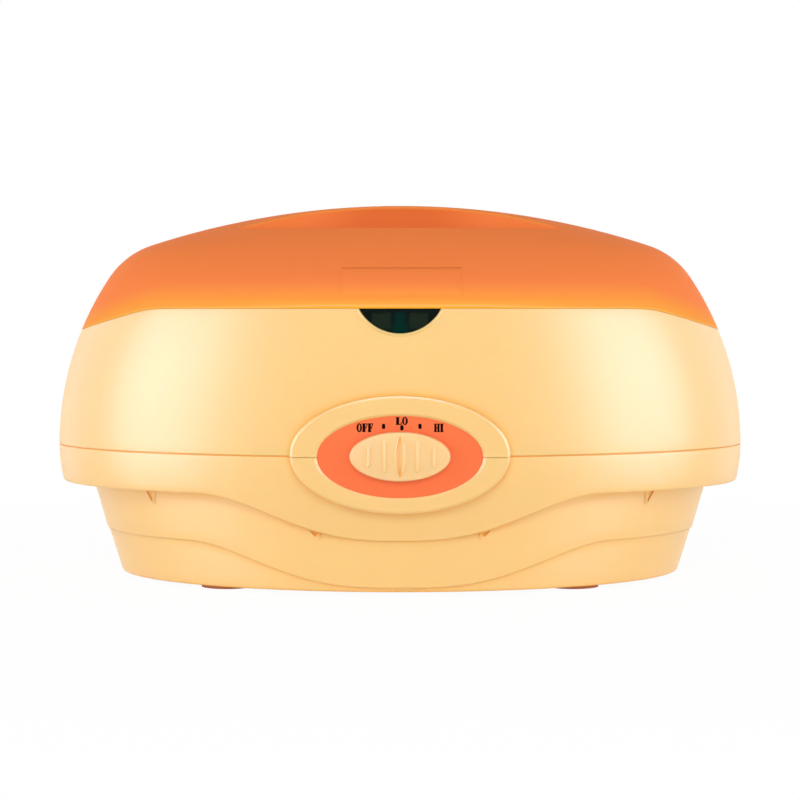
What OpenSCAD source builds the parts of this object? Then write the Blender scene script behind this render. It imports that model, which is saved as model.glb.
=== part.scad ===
// Paraffin wax warmer: an oval two-shell housing with a stepped base, a lift-off lid with a
// bar handle, a heated aluminium tank and a sliding heat control. Millimetres, +Z up.
// The origin is on the floor under the middle of the overall size; -Y is the control side.

/* [Housing] */
// Width of the housing at its seam
body_w = 357.2; // [350:0.4:362]
// Depth of the housing at its seam, without the control
body_d = 230; // [226:0.5:234]
// Height of the crown of the lid above the floor
top_z = 192; // [190:0.5:194]
// Height of the seam between the two housing shells
seam_z = 68; // [67:0.5:69]
// Moulded wall thickness of the shells
wall = 2.8; // [2.6:0.1:3]
// Clearance under the base, which is the height of the feet
base_z = 2.2; // [2:0.1:3]

/* [Stepped base] */
// Height of the skirt's lower edge at the sides
skirt_edge = 48.9; // [48:0.1:49.4]
// Height of the middle step's lower edge at the sides
step_edge = 24.5; // [24:0.5:26]
// How far the skirt's edge dips in the middle of the front and the back
skirt_dip = 21.8; // [20:0.1:22]
// How far the middle step's edge dips in the middle
step_dip = 20.3; // [19:0.1:20.5]
// Half-width of the dip
dip_half = 100; // [90:1:105]

/* [Lid] */
// Wall thickness of the lid
lid_wall = 2.5; // [2.2:0.1:2.6]
// Height of the lid's edge along its middle
split_mid = 139; // [138.5:0.1:139.5]
// Distance from the middle where the lid's edge starts to fall
split_start = 126; // [122:1:130]
// Fall of the lid's edge towards its ends, height over width
split_slope = 0.33; // [0.3:0.01:0.35]
// Height of the rim that the hand scoops start from
scoop_rim_z = 179; // [178:0.5:180]
// Half-length of the handle between the two scoops
scoop_half = 84; // [78:1:88]
// Depth of the hand scoops below their rim
scoop_depth = 11; // [8:0.5:12]
// Half-thickness of the handle at its middle
bar_half = 13; // [11:0.5:14]

/* [Tank] */
// Half-width of the tank's mouth
mouth_w = 140; // [138:0.5:141]
// Half-depth of the tank's mouth
mouth_d = 82; // [81:0.5:83]
// Height of the tank's inside floor
tank_floor_z = 52; // [51:0.5:54]
// Sheet thickness of the tank
sheet = 1.5; // [1.2:0.1:1.6]

/* [Control] */
// Travel of the control knob each way from the middle
knob_travel = 17.4; // [14:0.2:17.4]
// Length of the control knob
knob_w = 48; // [46:0.5:49]
// Height of the control knob
knob_h = 23.5; // [22:0.5:25]
// Distance from the thermostat's spindle to the drive pin
lever_len = 60; // [59:0.5:61]

/* [Hidden] */

$fn = 48;
eps = 0.01;
far = 400;

// Segments round each oval shell
segs = 64;
// Each side's profile: half-size, wall radius, radius below the seam, dome radius, shoulder radius
side_profile = [body_w / 2, 156, 75, 420, 42];
front_profile = [body_d / 2, 257, 146, 145, 25];
// Half-sizes of the middle step and of the foot step at floor level, and their growth with height
step_w = [146.1, 0.292];
step_d = [105.5, 0.07];
foot_w = [144.7, 0.318];
foot_d = [104, 0.04];
// Powers that shape the two dips
skirt_power = 1.4;
step_power = 1.55;
// Half-width of the lid at its edge, and the rounding where the edge starts to fall
lid_half = 162;
split_round = 6;
// Gap between the lid's edge and the ledge that it stands over
lid_gap = 0.3;

// Collar that the lid drops over, and the deck inside it that carries the tank
ledge = 3.5;
collar_h = 8.5;
collar_lean = 0.8;
collar_t = 2.4;
deck_z = 131;
deck_t = 2.5;
deck_inset = 9;
deck_hole = [mouth_w + 3, mouth_d + 3];
gasket_t = 0.8;
rim_z = deck_z + gasket_t + sheet;
flange_half = [mouth_w + 11, mouth_d + 11];
floor_half = [124, 68];
tank_under_z = tank_floor_z - sheet;

// Control: everything is set out from the face of the bezel, which faces -Y
bezel_y = -118.5;
bezel_half = [52.5, 28.4];
// The bezel's outline stands a little higher than the dial inside it
bezel_rise = 0.9;
bezel_bore = [45, 25];
bezel_t = 3;
bezel_back_y = -106.5;
dial_half = [39.6, 19.6];
dial_gap = 0.15;
dial_recess = 1;
dial_t = 2;
dial_lip = [44.4, 24.4];
dial_lip_t = 1.5;
dial_y = bezel_y + dial_recess;
lip_back_y = bezel_y + bezel_t + dial_lip_t;
slot_h = 3.6;
stem = [6, 3];
slot_w = 2 * knob_travel + stem[0] + 0.4;
knob_back_y = bezel_y - 0.3;
knob_t = 5.2;
strip_y = lip_back_y + 0.3;
strip = [51, 1.2, 10];
track_y = strip_y + strip[1] + 0.3;
track = [72, 3, 28];
neck = [8, 5];
track_slot = [2 * knob_travel + neck[0] + 0.8, neck[1] + 0.8];
post_x = 29;
post_z = 10.5;
post_r = 3;

// Thermostat under the tank's floor, and the lever that the knob's drive pin swings
spindle_y = -35;
pin_y = spindle_y - lever_len;
pin_r = 2;
pin_play = 0.4;
spindle_r = 3;
lever_z = 25;
lever_t = 2.5;
arm_foot_z = 30;
pin_end_z = 22.5;
felt_t = 4.4;
felt_under_z = tank_under_z - felt_t;
thermo_z = 37;
bracket_t = 1.2;

// Fixing points, one quarter of each symmetric set
case_screw = [106, 62];
case_screw_r = 1.95;
bar_screw_r = 1.5;
inlet_screw_r = 1.6;
boss_r = 4.5;
boss_joint_z = 60;
foot_at = [86, 62];
foot_r = 13;
post_at = [80, 79];
stud_at = [80, 38];
thermo_stud_x = 24;
bar_z = felt_under_z - 1.5;
bar_t = 1.5;

// Mains inlet in the back wall
inlet_z = 47;
inlet_flange = [50, 3, 22.6];
inlet_body = [27.2, 19.8];
inlet_mouth = [24.2, 16.4];
inlet_back_y = 92;
inlet_face_y = 117.2;
inlet_screw_x = 20;
seat_gap = 0.2;

// Colours
cream = "#f9d692";
orange = "#f47a35";
alloy = "#c9ccd0";
steel = "#a9adb2";
black = "#1c1c1e";

// ---- outline of the shells --------------------------------------------------------------

function arc_out(r, h) = sqrt(max(r * r - h * h, 0));

// Centre of a circle of radius r that touches two larger circles from inside
function blend_centre(c1, r1, c2, r2, r) =
    let (v = c2 - c1, d = norm(v), d1 = r1 - r, d2 = r2 - r,
         a = (d1 * d1 - d2 * d2 + d * d) / (2 * d))
    c1 + (a * v + arc_out(d1, a) * [-v[1], v[0]]) / d;

// Half-size of the outer skin at height z, for one of the two profiles
function half_at(p, z) =
    let (wall_c = [p[0] - p[1], seam_z], dome_c = [0, top_z - p[3]],
         c = blend_centre(wall_c, p[1], dome_c, p[3], p[4]),
         wall_top = wall_c[1] + (c[1] - wall_c[1]) * p[1] / (p[1] - p[4]),
         dome_foot = dome_c[1] + (c[1] - dome_c[1]) * p[3] / (p[3] - p[4]))
    z < seam_z ? p[0] - p[2] + arc_out(p[2], seam_z - z)
    : z < wall_top ? wall_c[0] + arc_out(p[1], z - wall_c[1])
    : z < dome_foot ? c[0] + arc_out(p[4], z - c[1])
    : arc_out(p[3], z - dome_c[1]);

function oval(half, t, z) = [half[0] * cos(t), half[1] * sin(t), z];
function skin(t, z, inset = 0) =
    oval([half_at(side_profile, z) - inset, half_at(front_profile, z) - inset], t, z);
function step_skin(t, z, inset = 0) =
    oval([step_w[0] + step_w[1] * z - inset, step_d[0] + step_d[1] * z - inset], t, z);
function foot_skin(t, z, inset = 0) =
    oval([foot_w[0] + foot_w[1] * z - inset, foot_d[0] + foot_d[1] * z - inset], t, z);

// A dip that is 1 in the middle of the front and the back and 0 beyond its half-width
function dip(x, power) =
    let (u = abs(x) / dip_half) u < 1 ? (1 + cos(180 * pow(u, power))) / 2 : 0;
function skirt_z(t) = skirt_edge - skirt_dip * dip(body_w / 2 * cos(t), skirt_power);
function step_z(t) = step_edge - step_dip * dip(step_w[0] * cos(t), step_power);

// Height of the line where the lid meets the housing
function split_z(t) =
    let (q = lid_half * abs(cos(t)) - split_start)
    split_mid - split_slope * (q + sqrt(q * q + split_round * split_round)) / 2;

// ---- mesh helpers -----------------------------------------------------------------------

function ring_points(rows) = [for (row = rows) each row];
function mix(a, b, f) = a + (b - a) * f;
turn = [for (i = [0:segs - 1]) i * 360 / segs];

// Triangles between rings k and k+1 of n points each
function band_faces(k, n) =
    [for (i = [0:n - 1]) let (a = k * n + i, b = k * n + (i + 1) % n, c = a + n, d = b + n)
        each [[a, b, d], [a, d, c]]];

// A solid from rings that run from one flat end cap to another
module capped_loft(rows) {
    n = len(rows[0]);
    last = len(rows) - 1;
    polyhedron(ring_points(rows), concat(
        [[for (i = [n - 1:-1:0]) i]],
        [for (k = [0:last - 1]) each band_faces(k, n)],
        [[for (i = [0:n - 1]) last * n + i]]));
}

// A solid ring whose cross-section is a closed chain of rings
module ring_loft(rows) {
    n = len(rows[0]);
    m = len(rows);
    polyhedron(ring_points(rows),
        [for (k = [0:m - 1], i = [0:n - 1])
            let (a = k * n + i, b = k * n + (i + 1) % n, c = (a + n) % (m * n), d = (b + n) % (m * n))
            each [[a, b, d], [a, d, c]]]);
}

// A round tube swept along points, with a flat end at each end
module tube(path, r, sides = 8) {
    last = len(path) - 1;
    rows = [for (k = [0:last])
        let (back = path[max(k - 1, 0)], ahead = path[min(k + 1, last)],
             along = (ahead - back) / norm(ahead - back),
             side = cross(along, abs(along[2]) < 0.9 ? [0, 0, 1] : [0, 1, 0]),
             u = side / norm(side), v = cross(u, along))
        [for (i = [0:sides - 1]) path[k] + r * (u * cos(360 * i / sides) + v * sin(360 * i / sides))]];
    capped_loft(rows);
}

// Points along a smooth curve through the given points
function smooth_path(p, per = 4) =
    let (m = len(p) - 1)
    concat([for (k = [0:m - 1], j = [0:per - 1])
        let (f = j / per, a = p[max(k - 1, 0)], b = p[k], c = p[k + 1], d = p[min(k + 2, m)])
        ((2 * b) + (c - a) * f + (2 * a - 5 * b + 4 * c - d) * f * f
            + (3 * b - a - 3 * c + d) * f * f * f) / 2], [p[m]]);

module ellipse(half) {
    polygon([for (t = turn) [half[0] * cos(t), half[1] * sin(t)]]);
}

// Extrudes its 2D children towards +Y from y0 to y1, with the drawing's Y as height
module along_y(y0, y1) {
    translate([0, y1, 0]) rotate([90, 0, 0]) linear_extrude(y1 - y0) children();
}

// An upright cylinder between two heights
module column(r, z0, z1) { translate([0, 0, z0]) cylinder(r = r, h = z1 - z0); }

module four(at) {
    for (sx = [-1, 1], sy = [-1, 1]) translate([sx * at[0], sy * at[1], 0]) children();
}

// ---- lid --------------------------------------------------------------------------------

lid_levels = [154, 157, 160, 163.5, 167, 170.5, 173.5, 176.5, scoop_rim_z];
lid_first_z = 150;
edge_rings = 4;

// Outer and inner points of the lid at one place of its side; the inner one lies square in from the outer
function lid_in(t, z) =
    let (step = 0.5, along = skin(t + step, z) - skin(t - step, z),
         up = skin(t, z + step) - skin(t, z - step), out = cross(along, up))
    skin(t, z) - lid_wall * out / norm(out);
function lid_z(t, k) = k < edge_rings ? mix(split_z(t) + lid_gap, lid_first_z, k / edge_rings)
    : k == edge_rings ? lid_first_z : lid_levels[k - edge_rings - 1];

// Crown of the dome over any point: the drop that puts the point on its own level oval
function crown_drop(x, y, n = 6, d = 0) =
    n == 0 ? d : crown_drop(x, y, n - 1,
        x * x / (2 * side_profile[3] - d) + y * y / (2 * front_profile[3] - d));
function crown_z(x, y) = top_z - crown_drop(x, y);

rim_half = [half_at(side_profile, scoop_rim_z), half_at(front_profile, scoop_rim_z)];
rim_at_end = rim_half[1] * sqrt(1 - pow(scoop_half / rim_half[0], 2));
function bar_at(x) = mix(bar_half, rim_at_end, pow(x / scoop_half, 2));

// One line of points across the crown at x, from the rear rim to the front rim, without the rims
function crown_half(x, y_rim) =
    let (in_scoop = abs(x) < scoop_half,
         y_bar = in_scoop ? min(bar_at(x), y_rim - 0.3) : y_rim * 0.7,
         gap = y_rim - y_bar,
         fade = in_scoop ? sqrt(1 - pow(x / scoop_half, 2)) : 0,
         floor_z = scoop_rim_z - scoop_depth * fade)
    in_scoop ? [[y_rim - gap * 0.16, mix(scoop_rim_z, floor_z, 0.8)], [y_rim - gap * 0.4, floor_z],
        [y_bar + gap * 0.22, floor_z], [y_bar + gap * 0.08, mix(floor_z, crown_z(x, y_bar), 0.35)],
        [y_bar, crown_z(x, y_bar) - 0.4], [y_bar - 1.6, crown_z(x, y_bar - 1.6)]]
    : [for (f = [0.16, 0.3, 0.4, 0.55, 0.7, 0.85]) let (y = mix(y_rim, 0, f)) [y, crown_z(x, y)]];
function crown_line(x, y_rim) =
    let (half = crown_half(x, y_rim), m = len(half))
    concat([for (q = half) [x, q[0], q[1]]], [[x, 0, crown_z(x, 0)]],
        [for (j = [m - 1:-1:0]) [x, -half[j][0], half[j][1]]]);

module lid() {
    levels = edge_rings + len(lid_levels);
    outer = [for (k = [levels:-1:0]) [for (t = turn) skin(t, lid_z(t, k))]];
    edge_in = [for (t = turn) skin(t, split_z(t) + lid_gap, lid_wall)];
    inner = [for (k = [1:levels]) [for (t = turn) lid_in(t, lid_z(t, k))]];
    rows = concat(outer, [edge_in], inner);
    cols = [for (i = [1:segs / 2 - 1])
        crown_line(rim_half[0] * cos(turn[i]), rim_half[1] * sin(turn[i]))];
    m = len(cols[0]);
    first_out = len(rows) * segs;
    first_in = first_out + len(cols) * m;
    points = concat(ring_points(rows), ring_points(cols),
        [for (col = cols) each [for (q = col) q - [0, 0, lid_wall]]]);
    color(orange) polyhedron(points, concat(
        [for (k = [0:len(rows) - 2]) each band_faces(k, segs)],
        crown_faces(0, first_out, m, false),
        crown_faces((len(rows) - 1) * segs, first_in, m, true)));
}

// Triangles over the crown: ring0 is the first rim point and first the first line's first point
function crown_faces(ring0, first, m, flip) =
    let (half = segs / 2,
         at = function (i, j) j == 0 ? ring0 + i : j == m + 1 ? ring0 + (segs - i) % segs
             : first + (i - 1) * m + j - 1)
    [for (i = [0:half - 1], j = [0:m])
        let (a = i == 0 ? ring0 : at(i, j), b = i == 0 ? ring0 : at(i, j + 1),
             last = i == half - 1, c = last ? ring0 + half : at(i + 1, j),
             d = last ? ring0 + half : at(i + 1, j + 1))
        each [for (f = [[a, b, d], [a, d, c]]) if (f[0] != f[1] && f[1] != f[2] && f[0] != f[2])
            flip ? [f[2], f[1], f[0]] : f]];

// ---- housing ----------------------------------------------------------------------------

// Underside of the block behind the lid's edge, never above the deck's underside
function under_z(t) = min(split_z(t) - wall, deck_z - deck_t - 0.1);

function upper_rows() = let (lean = ledge + collar_lean, under = deck_z - deck_t) concat(
    [for (k = [0:5]) [for (t = turn) skin(t, mix(split_z(t), seam_z, k / 5))]],
    [for (k = [0:3]) [for (t = turn) skin(t, mix(seam_z, under_z(t), k / 3), wall)]],
    [[for (t = turn) skin(t, under_z(t), deck_inset)], [for (t = turn) skin(t, under, deck_inset)],
        [for (t = turn) oval(deck_hole, t, under)], [for (t = turn) oval(deck_hole, t, deck_z)],
        [for (t = turn) skin(t, deck_z, deck_inset)],
        [for (t = turn) skin(t, split_z(t) + collar_h, lean + collar_t)],
        [for (t = turn) skin(t, split_z(t) + collar_h, lean)], [for (t = turn) skin(t, split_z(t), ledge)]]);

// The bezel's blank, the half of it above or below the seam
module bezel_half_blank(up) {
    intersection() {
        along_y(bezel_y, bezel_back_y) translate([0, seam_z + bezel_rise]) ellipse(bezel_half);
        translate([-far / 2, -far, up ? seam_z : seam_z - far]) cube(far);
    }
}

// What the control needs cut away: the dial's window, and the bore for its lip behind the face
module bezel_cut() {
    along_y(bezel_y - 1, bezel_y + bezel_t + 1) translate([0, seam_z]) ellipse(dial_half + dial_gap * [1, 1]);
    along_y(bezel_y + bezel_t, bezel_back_y + 6) translate([0, seam_z]) ellipse(bezel_bore);
}

lens_w = 39.3;
lens_h = 11.8;
lens_r = (lens_w * lens_w / 4 + lens_h * lens_h) / (2 * lens_h);
lens_tilt = asin((split_mid - lens_h / 2 - seam_z) / front_profile[1]);
lens_t = 2.2;
lens_gap = 0.15;
// How far the lens's opening is cut out in front of the wall and through it
lens_clear = 3;
lens_through = 5.5;
// Slot through the deck for the two lamps: its width, and how far it reaches past them
lamp_slot = 4.2;
lamp_side = 6;

// Half-moon in the slope of the front wall, hanging from the lid's edge
module half_moon(y0, y1, grow) {
    translate([0, -half_at(front_profile, split_mid), split_mid]) rotate([-lens_tilt, 0, 0])
        along_y(y0, y1) intersection() {
            translate([0, lens_r - lens_h]) circle(lens_r + grow, $fn = 64);
            translate([-lens_w, -2 * lens_w + grow]) square(2 * lens_w);
        }
}

module upper_housing() {
    color(cream) difference() {
        union() {
            ring_loft(upper_rows());
            bezel_half_blank(true);
            four(case_screw) column(boss_r, boss_joint_z, deck_z - 1);
            four(post_at) column(boss_r, felt_under_z, deck_z - 1);
        }
        bezel_cut();
        half_moon(-lens_clear, lens_through, lens_gap);
        translate([-lamp_x - lamp_side, lamp_y - lamp_slot / 2, deck_z - lamp_side])
            cube([2 * (lamp_x + lamp_side), lamp_slot, 2 * lamp_side]);
        four(case_screw) column(case_screw_r + 0.05, boss_joint_z - eps, boss_joint_z + 22);
        four(post_at) column(bar_screw_r + 0.1, felt_under_z - eps, felt_under_z + 16);
    }
}

// Chamfer round the bottom edge
base_chamfer = 1.4;
function inner_skirt(t) = skirt_z(t) + wall;
function inner_step(t) = step_z(t) + wall;
function lower_rows() = concat(
    [[for (t = turn) foot_skin(t, base_z + wall, wall + 1)],
        [for (t = turn) foot_skin(t, inner_step(t), wall)],
        [for (t = turn) step_skin(t, inner_step(t), wall)],
        [for (t = turn) step_skin(t, inner_skirt(t), wall)]],
    [for (k = [0:2]) [for (t = turn) skin(t, mix(inner_skirt(t), seam_z, k / 2), wall)]],
    [for (k = [0:4]) [for (t = turn) skin(t, mix(seam_z, skirt_z(t), k / 4))]],
    [for (k = [0:2]) [for (t = turn) step_skin(t, mix(skirt_z(t), step_z(t), k / 2))]],
    [[for (t = turn) foot_skin(t, step_z(t))],
        [for (t = turn) foot_skin(t, base_z + base_chamfer)],
        [for (t = turn) foot_skin(t, base_z, base_chamfer)]]);

vent_pitch = 12;
vents_each_side = 3;
vent = [3, 60];
screw_pocket_z = 48;
screw_pocket_r = 4;
foot_stem_r = 3.9;
// Thickened seat for the inlet behind the back wall
inlet_pad = [54, 7, 26];

module lower_housing() {
    pad_y = inlet_face_y - inlet_flange[1];
    color(cream) difference() {
        union() {
            capped_loft(lower_rows());
            bezel_half_blank(false);
            four(case_screw) column(boss_r + 1.3, base_z + 1, boss_joint_z);
            translate([-inlet_pad[0] / 2, pad_y - inlet_pad[1], inlet_z - inlet_pad[2] / 2]) cube(inlet_pad);
        }
        bezel_cut();
        four(case_screw) {
            column(screw_pocket_r, -1, screw_pocket_z);
            column(case_screw_r + 0.25, 0, far);
        }
        four(foot_at) column(foot_stem_r + 0.1, -1, base_z + 2 * wall);
        for (i = [-vents_each_side:vents_each_side])
            translate([i * vent_pitch - vent[0] / 2, -vent[1] / 2, -1])
                cube([vent[0], vent[1], base_z + 2 * wall]);
        along_y(inlet_back_y, far) translate([0, inlet_z]) square(inlet_body, center = true);
        along_y(pad_y, far) translate([0, inlet_z])
            square([inlet_flange[0], inlet_flange[2]] + 2 * seat_gap * [1, 1], center = true);
        for (sx = [-1, 1]) along_y(pad_y - 6, pad_y + 1) translate([sx * inlet_screw_x, inlet_z])
            circle(inlet_screw_r + 0.05);
    }
}

module foot() {
    color("#4a3428") union() {
        cylinder(r = foot_r, h = base_z);
        cylinder(r = foot_stem_r, h = base_z + 4);
    }
}
module foot_front_left() { translate([-foot_at[0], -foot_at[1], 0]) foot(); }
module foot_front_right() { translate([foot_at[0], -foot_at[1], 0]) foot(); }
module foot_rear_left() { translate([-foot_at[0], foot_at[1], 0]) foot(); }
module foot_rear_right() { translate([foot_at[0], foot_at[1], 0]) foot(); }

module housing_screws() {
    color(steel) four(case_screw) {
        column(screw_pocket_r - 0.4, screw_pocket_z - 3, screw_pocket_z);
        column(case_screw_r, screw_pocket_z - 1, screw_pocket_z + 32);
    }
}

// ---- tank and heater --------------------------------------------------------------------

tank_round_z = tank_floor_z + 3;
function tank_half(z) = let (f = (z - tank_round_z) / (rim_z - tank_round_z))
    [mix(floor_half[0], mouth_w, f), mix(floor_half[1], mouth_d, f)];
function tank_ring(z, grow) = [for (t = turn) oval(tank_half(z) + grow * [1, 1], t, z)];
function flat_ring(half, z) = [for (t = turn) oval(half, t, z)];

module tank() {
    color(alloy) capped_loft([
        flat_ring(0.95 * floor_half, tank_floor_z), tank_ring(tank_round_z, 0),
        tank_ring(mix(tank_round_z, rim_z, 0.5), 0), tank_ring(rim_z - 2, 0),
        flat_ring([mouth_w + 2, mouth_d + 2], rim_z), flat_ring(flange_half, rim_z),
        flat_ring(flange_half, rim_z - sheet), flat_ring([mouth_w + 2.9, mouth_d + 2.9], rim_z - sheet),
        tank_ring(rim_z - 4, sheet), tank_ring(mix(tank_round_z, rim_z, 0.5), sheet),
        tank_ring(tank_round_z, sheet), flat_ring(0.95 * floor_half, tank_under_z)]);
}

module tank_gasket() {
    color("#d8d2c4") translate([0, 0, deck_z]) linear_extrude(gasket_t) difference() {
        ellipse(flange_half - [1, 1]);
        ellipse(deck_hole + [0.6, 0.6]);
    }
}

grid_half = [120, 64];
grid_z = 60;
grid_t = 3;
grid_leg_at = [84, 30];
grid_window = [17, 14];
grid_pitch = 22;
// A window is cut where its far corner stays inside the grid's rim
function in_grid(i, j) =
    pow((abs(i) * grid_pitch + grid_window[0] / 2) / (grid_half[0] - 6), 2)
        + pow((abs(j) * grid_pitch + grid_window[1] / 2 + 1) / (grid_half[1] - 6), 2) < 1;

module tank_grid() {
    color("#f4f1ea") union() {
        translate([0, 0, grid_z]) linear_extrude(grid_t) difference() {
            ellipse(grid_half);
            for (i = [-4:4], j = [-2:2]) if (in_grid(i, j))
                translate(grid_pitch * [i, j]) square(grid_window, center = true);
        }
        four(grid_leg_at) column(4, tank_floor_z, grid_z + 1);
    }
}

band_z = [60, 88];
wrap_z = [56, 100];
band_t = 1.3;
wrap_t = 3.5;

// A sleeve round the tank's wall between two heights
module sleeve(z, inner, thick) {
    ring_loft([tank_ring(z[1], sheet + inner + thick), tank_ring(z[0], sheet + inner + thick),
        tank_ring(z[0], sheet + inner), tank_ring(z[1], sheet + inner)]);
}
module heater_band() { color("#b8792f") sleeve(band_z, 0.1, band_t); }
module insulation_wrap() { color("#e8e6df") sleeve(wrap_z, band_t + 0.3, wrap_t); }

fuse_at = [0, 25];
module bottom_insulation() {
    color("#e8e6df") translate([0, 0, felt_under_z]) linear_extrude(felt_t) difference() {
        ellipse(0.9 * floor_half);
        translate([-32, spindle_y - 20]) square([64, 40]);
        translate(fuse_at - [11, 6]) square([22, 12]);
        four(stud_at) circle(2.4);
    }
}

module support_bar() {
    reach = post_at[1] + 5;
    color(steel) translate([0, 0, bar_z]) difference() {
        translate([-6, -reach, 0]) cube([12, 2 * reach, bar_t]);
        for (sy = [-1, 1], y = [post_at[1], stud_at[1]])
            translate([0, sy * y, -1]) cylinder(r = 2.2, h = bar_t + 2);
    }
}
module support_bar_left() { translate([-post_at[0], 0, 0]) support_bar(); }
module support_bar_right() { translate([post_at[0], 0, 0]) support_bar(); }

module bar_screws() {
    color(steel) four(post_at) {
        column(3.5, bar_z - 2, bar_z);
        column(bar_screw_r, bar_z - 1, bar_z + 14);
    }
}

stud_r = 1.95;
stud_end_z = 39;
thermo_stud_end_z = 31;
nut_t = 3.2;
module at_thermo_studs() {
    for (sx = [-1, 1]) translate([sx * thermo_stud_x, spindle_y, 0]) children();
}
module tank_studs() {
    color(alloy) {
        four(stud_at) column(stud_r, stud_end_z, tank_under_z);
        at_thermo_studs() column(stud_r, thermo_stud_end_z, tank_under_z);
    }
}
module nut(bore) {
    difference() {
        cylinder(r = 4, h = nut_t, $fn = 6);
        translate([0, 0, -1]) cylinder(r = bore, h = nut_t + 2);
    }
}
module stud_nuts() {
    color(steel) {
        four(stud_at) translate([0, 0, bar_z - nut_t]) nut(2);
        at_thermo_studs() translate([0, 0, thermo_z - bracket_t - nut_t]) nut(2);
    }
}

module thermal_fuse() {
    color("#dcd6c8") translate([fuse_at[0] - 8, fuse_at[1], felt_under_z + felt_t / 2]) rotate([0, 90, 0])
        cylinder(r = felt_t / 2 - 0.05, h = 16);
}
module fuse_clip() {
    color(steel) translate([fuse_at[0] - 6, fuse_at[1] - 11, felt_under_z - 1]) cube([12, 22, 1]);
}

// ---- thermostat and its lever -----------------------------------------------------------

module at_spindle(z) { translate([0, spindle_y, z]) children(); }

module thermostat_body() {
    color("#e9e4d8") at_spindle(thermo_z) difference() {
        cylinder(r = 14, h = tank_under_z - thermo_z - 0.1);
        translate([0, 0, -1]) cylinder(r = spindle_r + 0.05, h = 9);
    }
}
module thermostat_bracket() {
    color(steel) difference() {
        at_spindle(thermo_z - bracket_t) translate([-30, -7, 0]) cube([60, 14, bracket_t]);
        at_spindle(0) cylinder(r = spindle_r + 1.5, h = far);
        at_thermo_studs() cylinder(r = 2.2, h = far);
    }
}
module thermostat_spindle() {
    color(steel) at_spindle(lever_z - 4) cylinder(r = spindle_r, h = thermo_z + 7 - lever_z + 4);
}
module thermostat_lever() {
    tip = lever_len + 5.5;
    color(steel) at_spindle(lever_z) difference() {
        union() {
            cylinder(r = 8, h = lever_t);
            translate([-5.4, -tip, 0]) cube([10.8, tip, lever_t]);
        }
        translate([0, 0, -1]) cylinder(r = spindle_r + 0.02, h = lever_t + 2);
        translate([-pin_r - pin_play, -tip - 1, -1])
            cube([2 * (pin_r + pin_play), tip - lever_len + 4, lever_t + 2]);
    }
}
module spindle_nut() { color(steel) at_spindle(lever_z - nut_t) nut(spindle_r + 0.02); }

// ---- control ----------------------------------------------------------------------------

module at_seam(x = 0, z = 0) { translate([x, seam_z + z]) children(); }
module at_posts() { for (sx = [-1, 1], sz = [-1, 1]) at_seam(sx * post_x, sz * post_z) children(); }

module dial_plate() {
    color(orange) difference() {
        union() {
            along_y(dial_y, dial_y + dial_t + eps) at_seam() ellipse(dial_half);
            along_y(dial_y + dial_t, lip_back_y) at_seam() ellipse(dial_lip);
            along_y(lip_back_y - eps, track_y) at_posts() circle(post_r);
        }
        along_y(dial_y - 1, lip_back_y + 1) at_seam() square([slot_w, slot_h], center = true);
        along_y(track_y - 3, track_y + 1) at_posts() circle(1.25);
    }
}

knob_face_y = knob_back_y - knob_t;
rib_rise = 0.5;
// Each rib's distance from the middle and its length
ribs = [[7.9, 14.5], [15.5, 8.9]];
module control_knob() {
    half = [knob_w / 2, knob_h / 2];
    color(cream) union() {
        along_y(knob_face_y + 2.2, knob_back_y) at_seam() ellipse(half);
        hull() {
            along_y(knob_face_y + 2.2, knob_face_y + 2.3) at_seam() ellipse(half);
            along_y(knob_face_y + rib_rise, knob_face_y + rib_rise + 0.1) at_seam() ellipse(half - [3, 3]);
        }
        for (rib = ribs, sx = [-1, 1])
            along_y(knob_face_y, knob_face_y + 2) at_seam(sx * rib[0]) square([1.1, rib[1]], center = true);
        along_y(knob_back_y - 1, strip_y) at_seam() square(stem, center = true);
    }
}

module knob_carriage() {
    color(black) union() {
        along_y(strip_y, strip_y + strip[1]) at_seam() square([strip[0], strip[2]], center = true);
        along_y(strip_y + 1, pin_y + 2) at_seam() square(neck, center = true);
        along_y(pin_y - 2, pin_y + 2) translate([-neck[0] / 2, arm_foot_z])
            square([neck[0], seam_z + neck[1] / 2 - arm_foot_z]);
        translate([0, pin_y, pin_end_z]) cylinder(r = pin_r, h = arm_foot_z - pin_end_z + 1);
    }
}

module slide_track() {
    color("#3a3a3c") along_y(track_y, track_y + track[1]) difference() {
        at_seam() square([track[0], track[2]], center = true);
        at_seam() square(track_slot, center = true);
        at_posts() circle(1.4);
    }
}
module track_screws() {
    color(steel) {
        along_y(track_y - 2.6, track_y + track[1]) at_posts() circle(1.2);
        along_y(track_y + track[1], track_y + track[1] + 1.6) at_posts() circle(2.4);
    }
}

// ---- indicator --------------------------------------------------------------------------

lamp_x = 9;
lamp_y = -101.3;
lamp_z = [116, 136];
lamp_r = 2;
holder_z = 112;
module indicator_lens() { color("#16231f") half_moon(0.2, 0.2 + lens_t, 0); }
module lamp_holder() {
    color(black) difference() {
        translate([-16, -104, holder_z]) cube([32, 11, deck_z - deck_t - 0.1 - holder_z]);
        for (sx = [-1, 1]) translate([sx * lamp_x, lamp_y, 0]) column(lamp_r + 0.05, lamp_z[0], deck_z);
    }
}
module lamp() {
    column(lamp_r, lamp_z[0], lamp_z[1] - lamp_r);
    translate([0, 0, lamp_z[1] - lamp_r]) sphere(r = lamp_r);
}
module power_lamp() { color("#c8402c") translate([-lamp_x, lamp_y, 0]) lamp(); }
module ready_lamp() { color("#2f8f7a") translate([lamp_x, lamp_y, 0]) lamp(); }

// ---- mains inlet and wiring -------------------------------------------------------------

// Each blade of the inlet: offset from its middle
blades = [[-7, -2], [7, -2], [0, 2]];
blade = [2, 4];
blade_y = [84, 111];
module at_blades() { for (b = blades) translate([b[0], inlet_z + b[1]]) square(blade, center = true); }

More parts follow.
